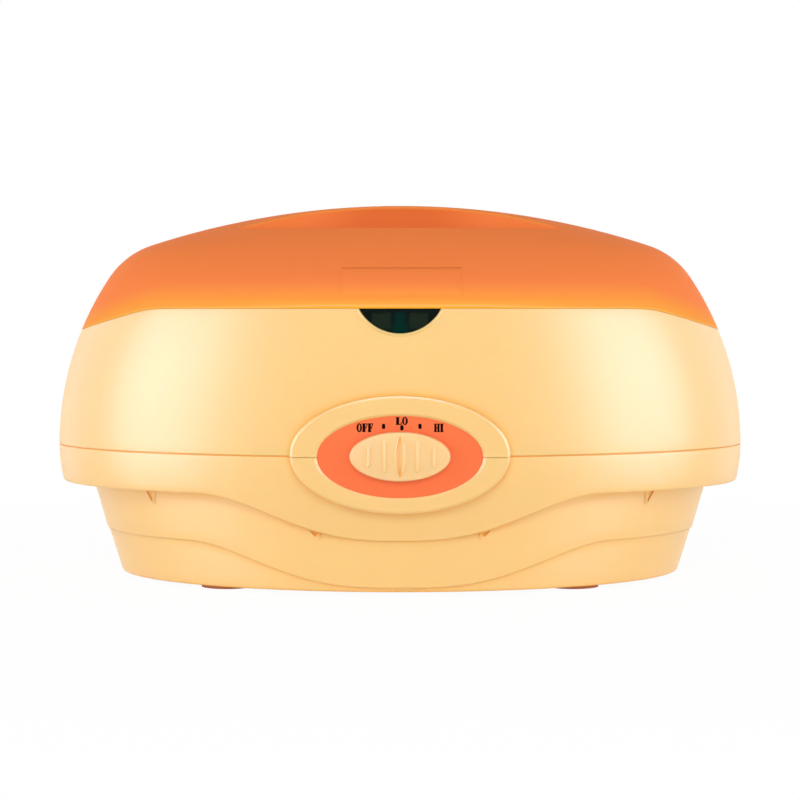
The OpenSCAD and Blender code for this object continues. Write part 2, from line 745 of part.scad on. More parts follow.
module power_inlet() {
    color(black) difference() {
        union() {
            along_y(inlet_face_y - inlet_flange[1], inlet_face_y) translate([0, inlet_z])
                square([inlet_flange[0], inlet_flange[2]], center = true);
            along_y(inlet_back_y, inlet_face_y - 1) translate([0, inlet_z])
                square(inlet_body - [0.2, 0.2], center = true);
        }
        along_y(inlet_back_y + 4, inlet_face_y + 1) translate([0, inlet_z])
            square(inlet_mouth, center = true);
        along_y(inlet_back_y - 1, inlet_back_y + 5) at_blades();
        for (sx = [-1, 1]) {
            along_y(inlet_face_y - 5, inlet_face_y + 1) translate([sx * inlet_screw_x, inlet_z])
                circle(inlet_screw_r + 0.1);
            along_y(inlet_face_y - 1.5, inlet_face_y + 1) translate([sx * inlet_screw_x, inlet_z]) circle(3);
        }
    }
}
module inlet_pins() { color("#d8c27a") along_y(blade_y[0], blade_y[1]) at_blades(); }
module inlet_screws() {
    color(steel) for (sx = [-1, 1]) {
        along_y(inlet_face_y - 9, inlet_face_y - 1.5) translate([sx * inlet_screw_x, inlet_z])
            circle(inlet_screw_r);
        along_y(inlet_face_y - 1.5, inlet_face_y - 0.2) translate([sx * inlet_screw_x, inlet_z]) circle(2.9);
    }
}

block = [44, 18, 14];
block_y = 61;
block_floor_z = base_z + wall;
way_x = 12;
way_z = block_floor_z + 7;
module terminal_block() {
    color("#efe9dc") difference() {
        translate([-block[0] / 2, block_y - block[1] / 2, block_floor_z]) cube(block);
        for (i = [-1:1]) {
            along_y(block_y - block[1], block_y + block[1]) translate([i * way_x, way_z]) circle(1.6);
            translate([i * way_x, block_y, 0]) column(2.2, way_z + 2, block_floor_z + block[2] + 1);
        }
    }
}

wire_r = 1.2;
tab_y = blade_y[0] - 0.2;
way_back = block_y + block[1] / 2 + 0.2;
way_front = block_y - block[1] / 2 - 0.2;
route_live = [[-7, tab_y, 45], [-7.5, 80, 42], [-11, 76, 24], [-12, 74, 14], [-12, way_back, way_z]];
route_neutral = [[7, tab_y, 45], [7.5, 80, 42], [11, 76, 24], [12, 74, 14], [12, way_back, way_z]];
route_earth = [[0, tab_y, 49], [0, 80, 45], [0, 76, 24], [0, 74, 14], [0, way_back, way_z]];
route_heater = [[-12, way_front, way_z], [-12, 46, 13], [-14, 36, 26], [-12, 28, 39], [-9.6, 25, 44.5]];
route_lamps = [[12, way_front, way_z], [14, 44, 11], [36, 30, 9], [60, 0, 9], [64, -45, 9], [50, -80, 12],
    [40, -92, 30], [36, -97, 60], [22, -98, 95], [10, -98.5, holder_z - 0.2]];

module wire(route, colour) { color(colour) tube(smooth_path(route), wire_r); }
module wire_live() { wire(route_live, "#7a4a2a"); }
module wire_neutral() { wire(route_neutral, "#3c6fb4"); }
module wire_earth() { wire(route_earth, "#7fa63a"); }
module wire_heater() { wire(route_heater, "#e8e6df"); }
module wire_lamps() { wire(route_lamps, "#e8e6df"); }

// Everything above is set out from the middle of the housing, and the knob reaches further out in
// front than the inlet does behind, so the whole is moved back to centre its overall depth
middle_y = -(knob_face_y + inlet_face_y) / 2;
module place() { translate([0, middle_y, 0]) children(); }

place() lid();
place() upper_housing();
place() lower_housing();
place() tank();
place() tank_gasket();
place() tank_grid();
place() indicator_lens();
place() lamp_holder();
place() power_lamp();
place() ready_lamp();
place() dial_plate();
place() control_knob();
place() knob_carriage();
place() slide_track();
place() track_screws();
place() thermostat_body();
place() thermostat_bracket();
place() thermostat_spindle();
place() thermostat_lever();
place() spindle_nut();
place() heater_band();
place() insulation_wrap();
place() bottom_insulation();
place() thermal_fuse();
place() fuse_clip();
place() terminal_block();
place() power_inlet();
place() inlet_pins();
place() inlet_screws();
place() foot_front_left();
place() foot_front_right();
place() foot_rear_left();
place() foot_rear_right();
place() housing_screws();
place() tank_studs();
place() stud_nuts();
place() support_bar_left();
place() support_bar_right();
place() bar_screws();
place() wire_live();
place() wire_heater();
place() wire_neutral();
place() wire_earth();
place() wire_lamps();
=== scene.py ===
"""Paraffin wax warmer: the shells, control, tank and finishes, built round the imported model."""

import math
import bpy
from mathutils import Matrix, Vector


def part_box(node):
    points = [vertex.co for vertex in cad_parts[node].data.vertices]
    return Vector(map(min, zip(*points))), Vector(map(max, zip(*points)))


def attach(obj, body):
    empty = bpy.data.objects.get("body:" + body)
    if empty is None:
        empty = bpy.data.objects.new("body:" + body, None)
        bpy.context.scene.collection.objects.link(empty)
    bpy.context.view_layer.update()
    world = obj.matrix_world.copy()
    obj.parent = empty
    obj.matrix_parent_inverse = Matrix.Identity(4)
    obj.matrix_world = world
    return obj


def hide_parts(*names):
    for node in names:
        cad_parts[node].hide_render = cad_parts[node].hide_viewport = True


bl_info = {
    "name": "Paraffin wax warmer",
    "version": (1, 0, 0),
    "blender": (4, 5, 0),
    "location": "3D View > Sidebar > Wax warmer",
    "description": "Builds a wax warmer's moulded shells, sliding heat control, tank and finishes",
    "category": "Add Mesh",
}

import bmesh
import bpy
from mathutils import Vector

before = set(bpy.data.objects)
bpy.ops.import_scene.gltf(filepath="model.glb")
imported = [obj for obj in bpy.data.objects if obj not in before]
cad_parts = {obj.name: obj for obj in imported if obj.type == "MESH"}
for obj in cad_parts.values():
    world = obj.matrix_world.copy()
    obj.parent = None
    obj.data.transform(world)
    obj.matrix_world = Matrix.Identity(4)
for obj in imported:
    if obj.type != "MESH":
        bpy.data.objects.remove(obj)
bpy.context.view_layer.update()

# Everything is set out round the middle of the housing, which stands behind the origin
LID_LOW, LID_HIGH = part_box("lid")
INLET_LOW, INLET_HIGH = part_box("power_inlet")
FOOT_LOW, FOOT_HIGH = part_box("foot_front_right")
MIDDLE_Y = (LID_LOW.y + LID_HIGH.y) / 2

# ---- shape of the shells, in metres ----

MM = 0.001
SEGMENTS = 256
SEAM_Z = 0.068
TOP_Z = LID_HIGH.z
BASE_Z = 0.0022
WALL = 0.0028
LID_WALL = 0.0025
# Each side's profile: half-size at the seam, and radii of the wall, below the seam, dome and shoulder
SIDE = {"half": 0.1786, "wall": 0.156, "under": 0.075, "dome": 0.420, "shoulder": 0.042}
FRONT = {"half": 0.115, "wall": 0.257, "under": 0.146, "dome": 0.145, "shoulder": 0.025}
# Half-sizes of the middle step and of the foot step on the floor, and their growth with height
STEP = ((0.1461, 0.292), (0.1055, 0.07))
FOOT = ((0.1447, 0.318), (0.1040, 0.04))

# Wavy lower edges of the skirt and the step: height at the ends, dip in the middle, and its shape
DIP_HALF = 0.100
SKIRT_EDGE, SKIRT_DIP, SKIRT_POWER = 0.0489, 0.0218, 1.4
STEP_EDGE, STEP_DIP, STEP_POWER = 0.0245, 0.0203, 1.55

# Line between lid and housing: level in the middle, then falling towards the ends
SPLIT_MID, SPLIT_START, SPLIT_SLOPE, SPLIT_ROUND = 0.1388, 0.126, 0.33, 0.006
SPLIT_HALF = 0.162
LID_GAP = 0.00004

# Handle between two hand scoops in the lid's crown
CROWN_FOOT_Z = 0.1782
SCOOP_RIM_Z = 0.179
SCOOP_HALF = 0.084
SCOOP_DEPTH = 0.011
SCOOP_FADE = 0.6
BAR_HALF = 0.013

# Ledge for the lid, collar inside it, and deck that carries the tank
LEDGE = 0.0035
COLLAR_H = 0.0085
COLLAR_LEAN = 0.0008
COLLAR_T = 0.0024
DECK_Z = 0.131
DECK_T = 0.0025
DECK_INSET = 0.009
DECK_HOLE = (0.143, 0.085)
RIM_Z = 0.1333
TANK_FLOOR_Z = 0.052
SHEET = 0.0015

# Control, set out from the bezel's face; the bezel's outline sits a little higher than the dial
BEZEL_Y = -0.1185
BEZEL_BACK_Y = -0.1065
BEZEL_HALF = (0.0525, 0.02805)
BEZEL_RISE = 0.00125
DIAL_RISE = 0.0003
BEZEL_GAP = 0.00018
BEZEL_BORE = (0.045, 0.025)
BEZEL_T = 0.003
WINDOW_HALF = (0.03975, 0.01975)
DIAL_HALF = (0.0396, 0.0196)
DIAL_LIP = (0.0444, 0.0244)
DIAL_Y = -0.1175
DIAL_T = 0.002
LIP_T = 0.0015
SLOT = (0.0412, 0.0036)
LENS_W = 0.0393
LENS_H = 0.0118
LENS_R = (LENS_W * LENS_W / 4 + LENS_H * LENS_H) / (2 * LENS_H)
LENS_T = 0.0022
LENS_RECESS = 0.0002


def mix(a, b, share):
    return a + (b - a) * share


def smooth_step(low, high, value):
    share = min(max((value - low) / (high - low), 0.0), 1.0)
    return share * share * (3 - 2 * share)


def arc_out(radius, rise):
    """How far a circle stands out at a height above its centre."""
    return math.sqrt(max(radius * radius - rise * rise, 0.0))


def shoulder_of(profile):
    """Centre of the shoulder's circle, and the heights where the wall and the dome meet it."""
    wall = Vector((profile["half"] - profile["wall"], SEAM_Z))
    dome = Vector((0.0, TOP_Z - profile["dome"]))
    r = profile["shoulder"]
    between = dome - wall
    d1, d2 = profile["wall"] - r, profile["dome"] - r
    along = (d1 * d1 - d2 * d2 + between.length_squared) / (2 * between.length)
    square = Vector((-between.y, between.x))
    centre = wall + (between * along + square * arc_out(d1, along)) / between.length
    wall_top = wall.y + (centre.y - wall.y) * profile["wall"] / d1
    dome_foot = dome.y + (centre.y - dome.y) * profile["dome"] / d2
    return centre, wall_top, dome_foot


SHOULDERS = {id(profile): shoulder_of(profile) for profile in (SIDE, FRONT)}


def half_at(profile, z):
    """Half-size of the outer skin at a height, for one of the two profiles."""
    centre, wall_top, dome_foot = SHOULDERS[id(profile)]
    if z < SEAM_Z:
        return profile["half"] - profile["under"] + arc_out(profile["under"], SEAM_Z - z)
    if z < wall_top:
        return profile["half"] - profile["wall"] + arc_out(profile["wall"], z - SEAM_Z)
    if z < dome_foot:
        return centre.x + arc_out(profile["shoulder"], z - centre.y)
    return arc_out(profile["dome"], z - TOP_Z + profile["dome"])


def oval(half, t, z):
    return Vector((half[0] * math.cos(t), half[1] * math.sin(t), z))


def grown(half, by):
    return (half[0] + by, half[1] + by)


def flat_ring(half, z):
    return lambda t: oval(half, t, z)


def skin(t, z, inset=0.0):
    """Point of the body's outer skin at an angle and a height, moved in by an inset."""
    return oval((half_at(SIDE, z) - inset, half_at(FRONT, z) - inset), t, z)


def tapered(sizes, t, z, inset=0.0):
    """Point of one of the base's two steps, whose sides lean evenly."""
    return oval([at_floor + lean * z - inset for at_floor, lean in sizes], t, z)


def dip(x, power):
    """1 in the middle of the front and the back, and 0 beyond the dip's half-width."""
    share = abs(x) / DIP_HALF
    return (1 + math.cos(math.pi * share**power)) / 2 if share < 1 else 0.0


def skirt_z(t):
    return SKIRT_EDGE - SKIRT_DIP * dip(SIDE["half"] * math.cos(t), SKIRT_POWER)


def step_z(t):
    return STEP_EDGE - STEP_DIP * dip(STEP[0][0] * math.cos(t), STEP_POWER)


def split_z(t):
    """Height of the line where the lid meets the housing."""
    past = SPLIT_HALF * abs(math.cos(t)) - SPLIT_START
    return SPLIT_MID - SPLIT_SLOPE * (past + math.sqrt(past * past + SPLIT_ROUND**2)) / 2


def level_y(x, z):
    """Half-depth of the body at a place across it and a height, or 0 beyond its side."""
    return half_at(FRONT, z) * math.sqrt(max(1 - (x / half_at(SIDE, z)) ** 2, 0.0))


def crown_z(x, y):
    """Height of the lid's dome over a point, by putting the point on its own level oval."""
    drop = 0.0
    for _ in range(8):
        drop = x * x / (2 * SIDE["dome"] - drop) + y * y / (2 * FRONT["dome"] - drop)
    return TOP_Z - drop


# ---- mesh helpers ----


def loft(bm, rings, segments=SEGMENTS):
    """Extrudes a circle from ring to ring; each ring gives a point for an angle. Returns the end loops."""
    circle = bmesh.ops.create_circle(bm, cap_ends=False, radius=1, segments=segments)["verts"]
    turns = [math.atan2(v.co.y, v.co.x) for v in circle]
    loop = list(circle)
    for v, t in zip(loop, turns):
        v.co = rings[0](t)
    for ring in rings[1:]:
        chosen = set(loop)
        edges = [e for v in loop for e in v.link_edges if e.other_vert(v) in chosen]
        made = bmesh.ops.extrude_edge_only(bm, edges=list(dict.fromkeys(edges)))["geom"]
        new = {g for g in made if isinstance(g, bmesh.types.BMVert)}
        loop = [next(e.other_vert(v) for e in v.link_edges if e.other_vert(v) in new) for v in loop]
        for v, t in zip(loop, turns):
            v.co = ring(t)
    return list(circle), loop


def patch(bm, columns, rows, place):
    """A grid whose points are put in place by column and row number."""
    points = bmesh.ops.create_grid(bm, x_segments=columns, y_segments=rows, size=0.5)["verts"]
    for v in points:
        v.co = place(round((v.co.x + 0.5) * columns), round((v.co.y + 0.5) * rows))
    return points


def push(bm, points, way):
    """Makes the sheet on some points a solid, by extruding its faces a way along Y."""
    faces = list(dict.fromkeys(f for v in points for f in v.link_faces))
    moved = bmesh.ops.extrude_face_region(bm, geom=faces)["geom"]
    verts = [g for g in moved if isinstance(g, bmesh.types.BMVert)]
    bmesh.ops.translate(bm, vec=(0, way, 0), verts=verts)


def box_solid(bm, low, high):
    """A box between two corners."""
    low, high = Vector(low), Vector(high)
    verts = bmesh.ops.create_cube(bm, size=1)["verts"]
    bmesh.ops.scale(bm, vec=high - low, verts=verts)
    bmesh.ops.translate(bm, vec=(low + high) / 2, verts=verts)


def rod(bm, radius, place, low, high):
    """An upright cylinder between two heights."""
    made = bmesh.ops.create_cone(
        bm, cap_ends=True, radius1=radius, radius2=radius, depth=high - low, segments=48
    )
    bmesh.ops.translate(bm, vec=(*place, (low + high) / 2), verts=made["verts"])


def tube(bm, place, section):
    """A turned solid round an upright line, from a closed section of (radius, height) points."""
    rings = [
        lambda t, r=r, z=z: Vector((place[0] + r * math.cos(t), place[1] + r * math.sin(t), z))
        for r, z in section
    ]
    loft(bm, [*rings, rings[0]], 32)


def four(place):
    return [(sx * place[0], sy * place[1]) for sx in (-1, 1) for sy in (-1, 1)]


def cap_holes(bm):
    bmesh.ops.holes_fill(bm, edges=[e for e in bm.edges if e.is_boundary], sides=0)


def clean(bm, reach=1e-6):
    bmesh.ops.remove_doubles(bm, verts=bm.verts, dist=reach)
    bmesh.ops.dissolve_degenerate(bm, dist=reach, edges=bm.edges)
    bmesh.ops.recalc_face_normals(bm, faces=bm.faces)


def soften(bm, edges, width, steps=3):
    bmesh.ops.bevel(
        bm, geom=edges, offset=width, offset_type="OFFSET", segments=steps, profile=0.5,
        affect="EDGES", material=-1, clamp_overlap=True,
    )


def creases(bm, degrees=50):
    """Edges where the surface turns by more than an angle."""
    limit = math.radians(degrees)
    return [e for e in bm.edges if len(e.link_faces) == 2 and e.calc_face_angle(0) > limit]


def rounded(corners, steps=5):
    """A line through (y, z, reach) corners; a corner with a reach is rounded over it in steps + 1 points."""
    line = []
    for i, (y, z, reach) in enumerate(corners):
        here = Vector((y, z))
        if reach is None:
            line.append(here)
            continue
        before = Vector(corners[i - 1][:2]) - here
        after = Vector(corners[i + 1][:2]) - here
        start = here + before.normalized() * min(reach, 0.45 * before.length)
        end = here + after.normalized() * min(reach, 0.45 * after.length)
        for k in range(steps + 1):
            s = k / steps
            line.append(start * (1 - s) ** 2 + here * 2 * s * (1 - s) + end * s * s)
    return line


def to_object(bm, name):
    """Moves a finished mesh from the housing's middle to its place and links it to the scene."""
    bmesh.ops.translate(bm, vec=(0, MIDDLE_Y, 0), verts=bm.verts)
    mesh = bpy.data.meshes.new(name)
    bm.to_mesh(mesh)
    bm.free()
    piece = bpy.data.objects.new(name, mesh)
    bpy.context.scene.collection.objects.link(piece)
    return piece


def cut(piece, bm):
    """Cuts a closed mesh out of a piece."""
    clean(bm)
    cutter = to_object(bm, "cutter")
    modifier = piece.modifiers.new("cut", "BOOLEAN")
    modifier.operation = "DIFFERENCE"
    modifier.solver = "EXACT"
    modifier.object = cutter
    shown = piece.evaluated_get(bpy.context.evaluated_depsgraph_get())
    mesh = bpy.data.meshes.new_from_object(shown)
    piece.modifiers.clear()
    old, piece.data = piece.data, mesh
    mesh.name = piece.name
    bpy.data.meshes.remove(old)
    bpy.data.objects.remove(cutter)


def add_solids(piece, bm):
    """Adds finished solids, set out from the housing's middle, to a piece."""
    clean(bm)
    bmesh.ops.translate(bm, vec=(0, MIDDLE_Y, 0), verts=bm.verts)
    bm.from_mesh(piece.data)
    bm.to_mesh(piece.data)
    bm.free()


def store(piece, name, values):
    """Keeps a number for each point of a piece, for its material to read."""
    piece.data.attributes.new(name, "FLOAT", "POINT").data.foreach_set("value", values)


def finish(piece, body, material, replaced=(), smooth=32):
    """Shades a piece, gives it its material and sets what it rides on and stands for."""
    mesh = piece.data
    mesh.polygons.foreach_set("use_smooth", [True] * len(mesh.polygons))
    mesh.set_sharp_from_angle(angle=math.radians(smooth))
    mesh.materials.clear()
    mesh.materials.append(material)
    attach(piece, body)
    if replaced:
        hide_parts(*replaced)


# ---- materials ----


def linear(text):
    """An sRGB hex colour as linear RGB."""
    parts = [int(text[i : i + 2], 16) / 255 for i in (1, 3, 5)]
    return [p / 12.92 if p <= 0.04045 else ((p + 0.055) / 1.055) ** 2.4 for p in parts]


def add_node(tree, kind, inputs=None, **settings):
    """Adds a node with its settings; an input is a value or the socket that feeds it."""
    made = tree.nodes.new(kind)
    for name, value in settings.items():
        setattr(made, name, value)
    for name, value in (inputs or {}).items():
        if isinstance(value, bpy.types.NodeSocket):
            tree.links.new(value, made.inputs[name])
        else:
            made.inputs[name].default_value = value
    return made


def new_material(name, colour, **fixed):
    """A material in one colour: returns it, its tree, its shader and its object coordinates."""
    material = bpy.data.materials.new(name)
    material.use_nodes = True
    tree = material.node_tree
    shader = tree.nodes["Principled BSDF"]
    shader.inputs["Base Color"].default_value = [*colour, 1.0]
    for socket, value in fixed.items():
        shader.inputs[socket.replace("_", " ")].default_value = value
    place = add_node(tree, "ShaderNodeTexCoord").outputs["Object"]
    return material, tree, shader, place


def grain(tree, shader, place, size, depth):
    """Moulded or cast grain: a bump of the given size and depth in metres."""
    inputs = {"Vector": place, "Scale": 1 / size, "Detail": 3.0, "Roughness": 0.6}
    fine = add_node(tree, "ShaderNodeTexNoise", inputs).outputs["Fac"]
    bump = add_node(tree, "ShaderNodeBump", {"Height": fine, "Strength": 0.35, "Distance": depth})
    tree.links.new(bump.outputs["Normal"], shader.inputs["Normal"])
    return fine


# Where most of a cloud pattern's values lie, and how open a crease and an open surface are
CLOUDS = (0.25, 0.75)
CREASE_OPEN, FACE_OPEN = 0.35, 0.95


def set_roughness(tree, shader, pattern, low, high):
    """Uneven gloss that follows a pattern between two roughnesses."""
    inputs = {"Value": pattern, "From Min": CLOUDS[0], "From Max": CLOUDS[1], "To Min": low, "To Max": high}
    tree.links.new(add_node(tree, "ShaderNodeMapRange", inputs).outputs["Result"], shader.inputs["Roughness"])


# The mix node's colour sockets, by place: two inputs and the result
MIX_UNDER, MIX_OVER, MIX_RESULT = 6, 7, 2


def tint(tree, shader, share, colour):
    """Lays a colour over a shader's own, which is its first input, by a share."""
    base = shader.inputs[0]
    under = base.links[0].from_socket if base.is_linked else base.default_value
    inputs = {0: share, MIX_UNDER: under, MIX_OVER: [*colour, 1.0]}
    tinted = add_node(tree, "ShaderNodeMix", inputs, data_type="RGBA").outputs[MIX_RESULT]
    tree.links.new(tinted, base)


def creased(tree, reach, deep, face):
    """A number that goes from one value, deep in a crease, to another on an open face."""
    around = add_node(tree, "ShaderNodeAmbientOcclusion", {"Distance": reach}, samples=8).outputs["AO"]
    inputs = {"Value": around, "From Min": CREASE_OPEN, "From Max": FACE_OPEN, "To Min": deep, "To Max": face}
    return add_node(tree, "ShaderNodeMapRange", inputs).outputs["Result"]


def moulded(name, colour, shade, roughness, size, depth, cloud=45, **fixed):
    """A moulded material: two close tones in soft clouds, uneven gloss and the mould's fine texture.

    The size and depth of the texture and the size of the clouds are in millimetres.
    """
    material, tree, shader, place = new_material(name, colour, **fixed)
    inputs = {"Vector": place, "Scale": 1 / (cloud * MM), "Detail": 2.0}
    tint(tree, shader, add_node(tree, "ShaderNodeTexNoise", inputs).outputs["Fac"], shade)
    fine = grain(tree, shader, place, size * MM, depth * MM)
    set_roughness(tree, shader, fine, roughness - 0.04, roughness + 0.05)
    return material


def satin_abs(name, colour):
    """Injection-moulded ABS, spark-textured: satin, with a broad soft sheen from large lights."""
    look = bpy.context.scene.wax_warmer_look
    material = moulded(
        name, colour, look.housing_shade, 0.36, 0.5, 0.02, IOR=1.54, Subsurface_Weight=0.3,
        Subsurface_Scale=2.5 * MM, Subsurface_Radius=(1.0, 0.45, 0.15),
    )
    # Painted shade: the creases, found by ambient occlusion, are painted a deeper orange, as light soaking
    # through the moulding leaves them, and their sheen is cut
    reach = 4 * MM
    tree = material.node_tree
    shader = tree.nodes["Principled BSDF"]
    tint(tree, shader, creased(tree, reach, 1.0, 0.0), look.housing_crease_shade)
    tree.links.new(creased(tree, reach, 0.1, 1.0), shader.inputs["Specular IOR Level"])
    return material


def cream_abs():
    """The two shells' and the bezel's ABS: a warm cream with a satin sheen."""
    return satin_abs("cream_abs", bpy.context.scene.wax_warmer_look.housing)


def pale_abs():
    """The knob's ABS: the same plastic, painted a little paler as a painted sheen over the knob."""
    return satin_abs("pale_abs", bpy.context.scene.wax_warmer_look.knob)


# Height over the lid's edge at which the painted glow, which stands in for light from the pale collar behind
# it, has faded
GLOW_TOP = 0.013


def orange_polypropylene():
    """Thin translucent polypropylene, blast-textured: a painted glow lightens it over the pale collar behind
    it.
    """
    look = bpy.context.scene.wax_warmer_look
    name = "orange_polypropylene"
    material, tree, shader, place = new_material(name, look.lid, IOR=1.49, Specular_IOR_Level=0.02)
    height, handle, ridge = (
        add_node(tree, "ShaderNodeAttribute", attribute_name=name).outputs["Fac"]
        for name in ("above_edge", "handle", "ridge")
    )
    # Painted glow: lighter colours up from the lid's lower edge stand in for light through it from the collar
    share = add_node(tree, "ShaderNodeMapRange", {"Value": height, "From Max": GLOW_TOP}).outputs["Result"]
    ramp = add_node(tree, "ShaderNodeValToRGB", {"Fac": share})
    stops = ramp.color_ramp.elements
    stops[0].color = [*look.painted_glow_rim, 1]
    stops[1].color = [*look.lid, 1]
    band = (
        (0.05, look.painted_glow_rim), (0.10, look.painted_glow_edge), (0.18, look.painted_glow_band), (0.36, look.painted_glow_upper),
        (0.62, look.painted_glow_fade),
    )
    for position, colour in band:
        stops.new(position).color = [*colour, 1]
    tree.links.new(ramp.outputs["Color"], shader.inputs["Base Color"])
    # Painted shade on the handle's sides, which stand in shade and are a second wall thick, so less light
    # comes through, except at its thin top edge
    tint(tree, shader, handle, look.lid_handle_shade)
    # Painted highlight along the handle's thin top edge
    tint(tree, shader, ridge, look.lid_ridge_highlight)
    # Painted shade: the lid's creases are painted a deeper orange
    tint(tree, shader, creased(tree, 2 * MM, 1.0, 0.0), look.lid_crease_shade)
    set_roughness(tree, shader, grain(tree, shader, place, 0.4 * MM, 0.02 * MM), 0.5, 0.6)
    return material


def orange_abs():
    """Moulded ABS with a fine even matt texture, a redder orange than the lid."""
    dial = bpy.context.scene.wax_warmer_look.dial
    return moulded("orange_abs", dial, [c * 0.94 for c in dial], 0.5, 0.35, 0.02, IOR=1.54)


def smoked_acrylic():
    """Polished smoked acrylic: near black, glossy, with the two lamp chambers behind it and a cool glow
    painted on it.
    """
    name = "smoked_acrylic"
    material, tree, shader, place = new_material(name, linear("#0b1513"), IOR=1.49, Specular_IOR_Level=0.03)
    chamber, glow = (
        add_node(tree, "ShaderNodeAttribute", attribute_name=name).outputs["Fac"]
        for name in ("chamber", "glow")
    )
    # The lamp chambers are painted on as lighter patches, and the cool glow between them is painted light
    tint(tree, shader, chamber, linear("#1a261c"))
    tint(tree, shader, glow, linear("#002822"))
    inputs = {"Vector": place, "Scale": 1 / (2 * MM)}
    swirl = add_node(tree, "ShaderNodeTexNoise", inputs).outputs["Fac"]
    set_roughness(tree, shader, swirl, 0.08, 0.16)
    return material


def drawn_aluminium():
    """Deep-drawn aluminium sheet, satin: fine level lines round the wall from the drawing die."""
    material, tree, shader, place = new_material("drawn_aluminium", linear("#c3c5c7"), Metallic=1.0)
    # Lines 40 mm long and 0.4 mm apart
    scale = [1 / (size * MM) for size in (40, 40, 0.4)]
    stretched = add_node(tree, "ShaderNodeMapping", {"Vector": place, "Scale": scale}).outputs["Vector"]
    inputs = {"Vector": stretched, "Scale": 1.0, "Detail": 4.0}
    lines = add_node(tree, "ShaderNodeTexNoise", inputs).outputs["Fac"]
    tint(tree, shader, lines, linear("#d6d7d8"))
    set_roughness(tree, shader, lines, 0.28, 0.42)
    bump = add_node(tree, "ShaderNodeBump", {"Height": lines, "Strength": 0.2, "Distance": 0.01 * MM})
    tree.links.new(bump.outputs["Normal"], shader.inputs["Normal"])
    return material


def zinc_plated_steel():
    """Bright zinc-plated steel: pale grey metal with a faint crystalline spangle."""
    material, tree, shader, place = new_material("zinc_plated_steel", linear("#a9adb1"), Metallic=1.0)
    inputs = {"Vector": place, "Scale": 1 / (1.5 * MM)}
    cells = add_node(tree, "ShaderNodeTexVoronoi", inputs).outputs["Color"]
    share = add_node(tree, "ShaderNodeRGBToBW", {"Color": cells}).outputs["Val"]
    tint(tree, shader, share, linear("#bcc0c4"))
    set_roughness(tree, shader, share, 0.25, 0.38)
    return material


def nickel_plated_brass():
    """Nickel-plated brass blades: warm bright metal."""
    material, tree, shader, place = new_material("nickel_plated_brass", linear("#cdbb86"), Metallic=1.0)
    inputs = {"Vector": place, "Scale": 1 / (3 * MM)}
    cloud = add_node(tree, "ShaderNodeTexNoise", inputs).outputs["Fac"]
    tint(tree, shader, cloud, linear("#d8caa0"))
    set_roughness(tree, shader, cloud, 0.2, 0.32)
    return material


def black_ink():
    """Pad-printed ink: dense matt black with a thin uneven film."""
    name = "pad_printed_ink"
    return moulded(name, linear("#020202"), linear("#050404"), 0.7, 0.2, 0.005, Specular_IOR_Level=0.03)


def black_nylon():
    """Glass-filled nylon, moulded: dull black with a fine stipple."""
    return moulded("glass_filled_nylon", linear("#1c1c1e"), linear("#232325"), 0.5, 0.5, 0.03)


def foot_rubber():
    """Moulded thermoplastic rubber: orange-brown, matt, slightly dusty."""
    return moulded("moulded_rubber", linear("#cf8650"), linear("#dc945e"), 0.75, 0.4, 0.03)


def white_polypropylene():
    """Moulded natural polypropylene of the tank's grid: waxy off-white."""
    return moulded("natural_polypropylene", linear("#ece8dd"), linear("#e2ddd0"), 0.42, 0.5, 0.02)


def silicone():
    """Moulded silicone: soft grey-white with a dry sheen."""
    return moulded("moulded_silicone", linear("#d8d2c4"), linear("#cfc8b8"), 0.6, 0.4, 0.02)


def steatite():
    """Pressed and fired steatite ceramic: ivory, dry and faintly pitted."""
    return moulded("fired_steatite", linear("#e6dfcf"), linear("#dad2bf"), 0.55, 0.7, 0.05)


def mica_foil():
    """Mica sheet over resistance foil: amber flakes with a soft lustre."""
    return moulded("mica_sheet", linear("#a8793f"), linear("#8b602f"), 0.4, 1.5, 0.05, cloud=6)


def glass_felt():
    """Needled glass-fibre felt: off-white, rough, with a woolly surface."""
    return moulded("glass_fibre_felt", linear("#e4e1d8"), linear("#cfcabd"), 0.9, 1.2, 0.4, cloud=4)


def lamp_glass():
    """Blown glass of a neon lamp: tinted and glossy."""
    return moulded("blown_lamp_glass", linear("#c85a3c"), linear("#b44a30"), 0.12, 2.0, 0.01)


def lead_sleeve(name, text):
    """Silicone-rubber sleeve of a lead, in its own colour, matt."""
    colour = linear(text)
    return moulded("silicone_sleeve_" + name, colour, [c * 0.85 for c in colour], 0.55, 0.5, 0.02)


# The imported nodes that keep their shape, by what they are made of
CAD_FINISHES = {
    black_nylon: ("lamp_holder", "knob_carriage", "slide_track"),
    foot_rubber: ("foot_front_left", "foot_front_right", "foot_rear_left", "foot_rear_right"),
    silicone: ("tank_gasket",),
    steatite: ("thermostat_body", "terminal_block", "thermal_fuse"),
    mica_foil: ("heater_band",),
    glass_felt: ("insulation_wrap", "bottom_insulation"),
    lamp_glass: ("power_lamp", "ready_lamp"),
    nickel_plated_brass: ("inlet_pins",),
    drawn_aluminium: ("tank_studs",),
    zinc_plated_steel: (
        "track_screws", "thermostat_bracket", "thermostat_spindle", "thermostat_lever", "spindle_nut",
        "fuse_clip", "inlet_screws", "housing_screws", "stud_nuts", "support_bar_left",
        "support_bar_right", "bar_screws",
    ),
}
LEADS = {
    "brown": ("#7a4a2a", ("wire_live",)),
    "blue": ("#3c6fb4", ("wire_neutral",)),
    "green": ("#7fa63a", ("wire_earth",)),
    "white": ("#e0ddd4", ("wire_heater", "wire_lamps")),
}


# ---- sizes and colours a user would change ----


def colour_property(name, description, text):
    return bpy.props.FloatVectorProperty(
        name=name, description=description, default=linear(text), subtype="COLOR",
        size=3, min=0.0, max=1.0,
    )


def length_property(name, description, default):
    return bpy.props.FloatProperty(name=name, description=description, default=default, unit="LENGTH")


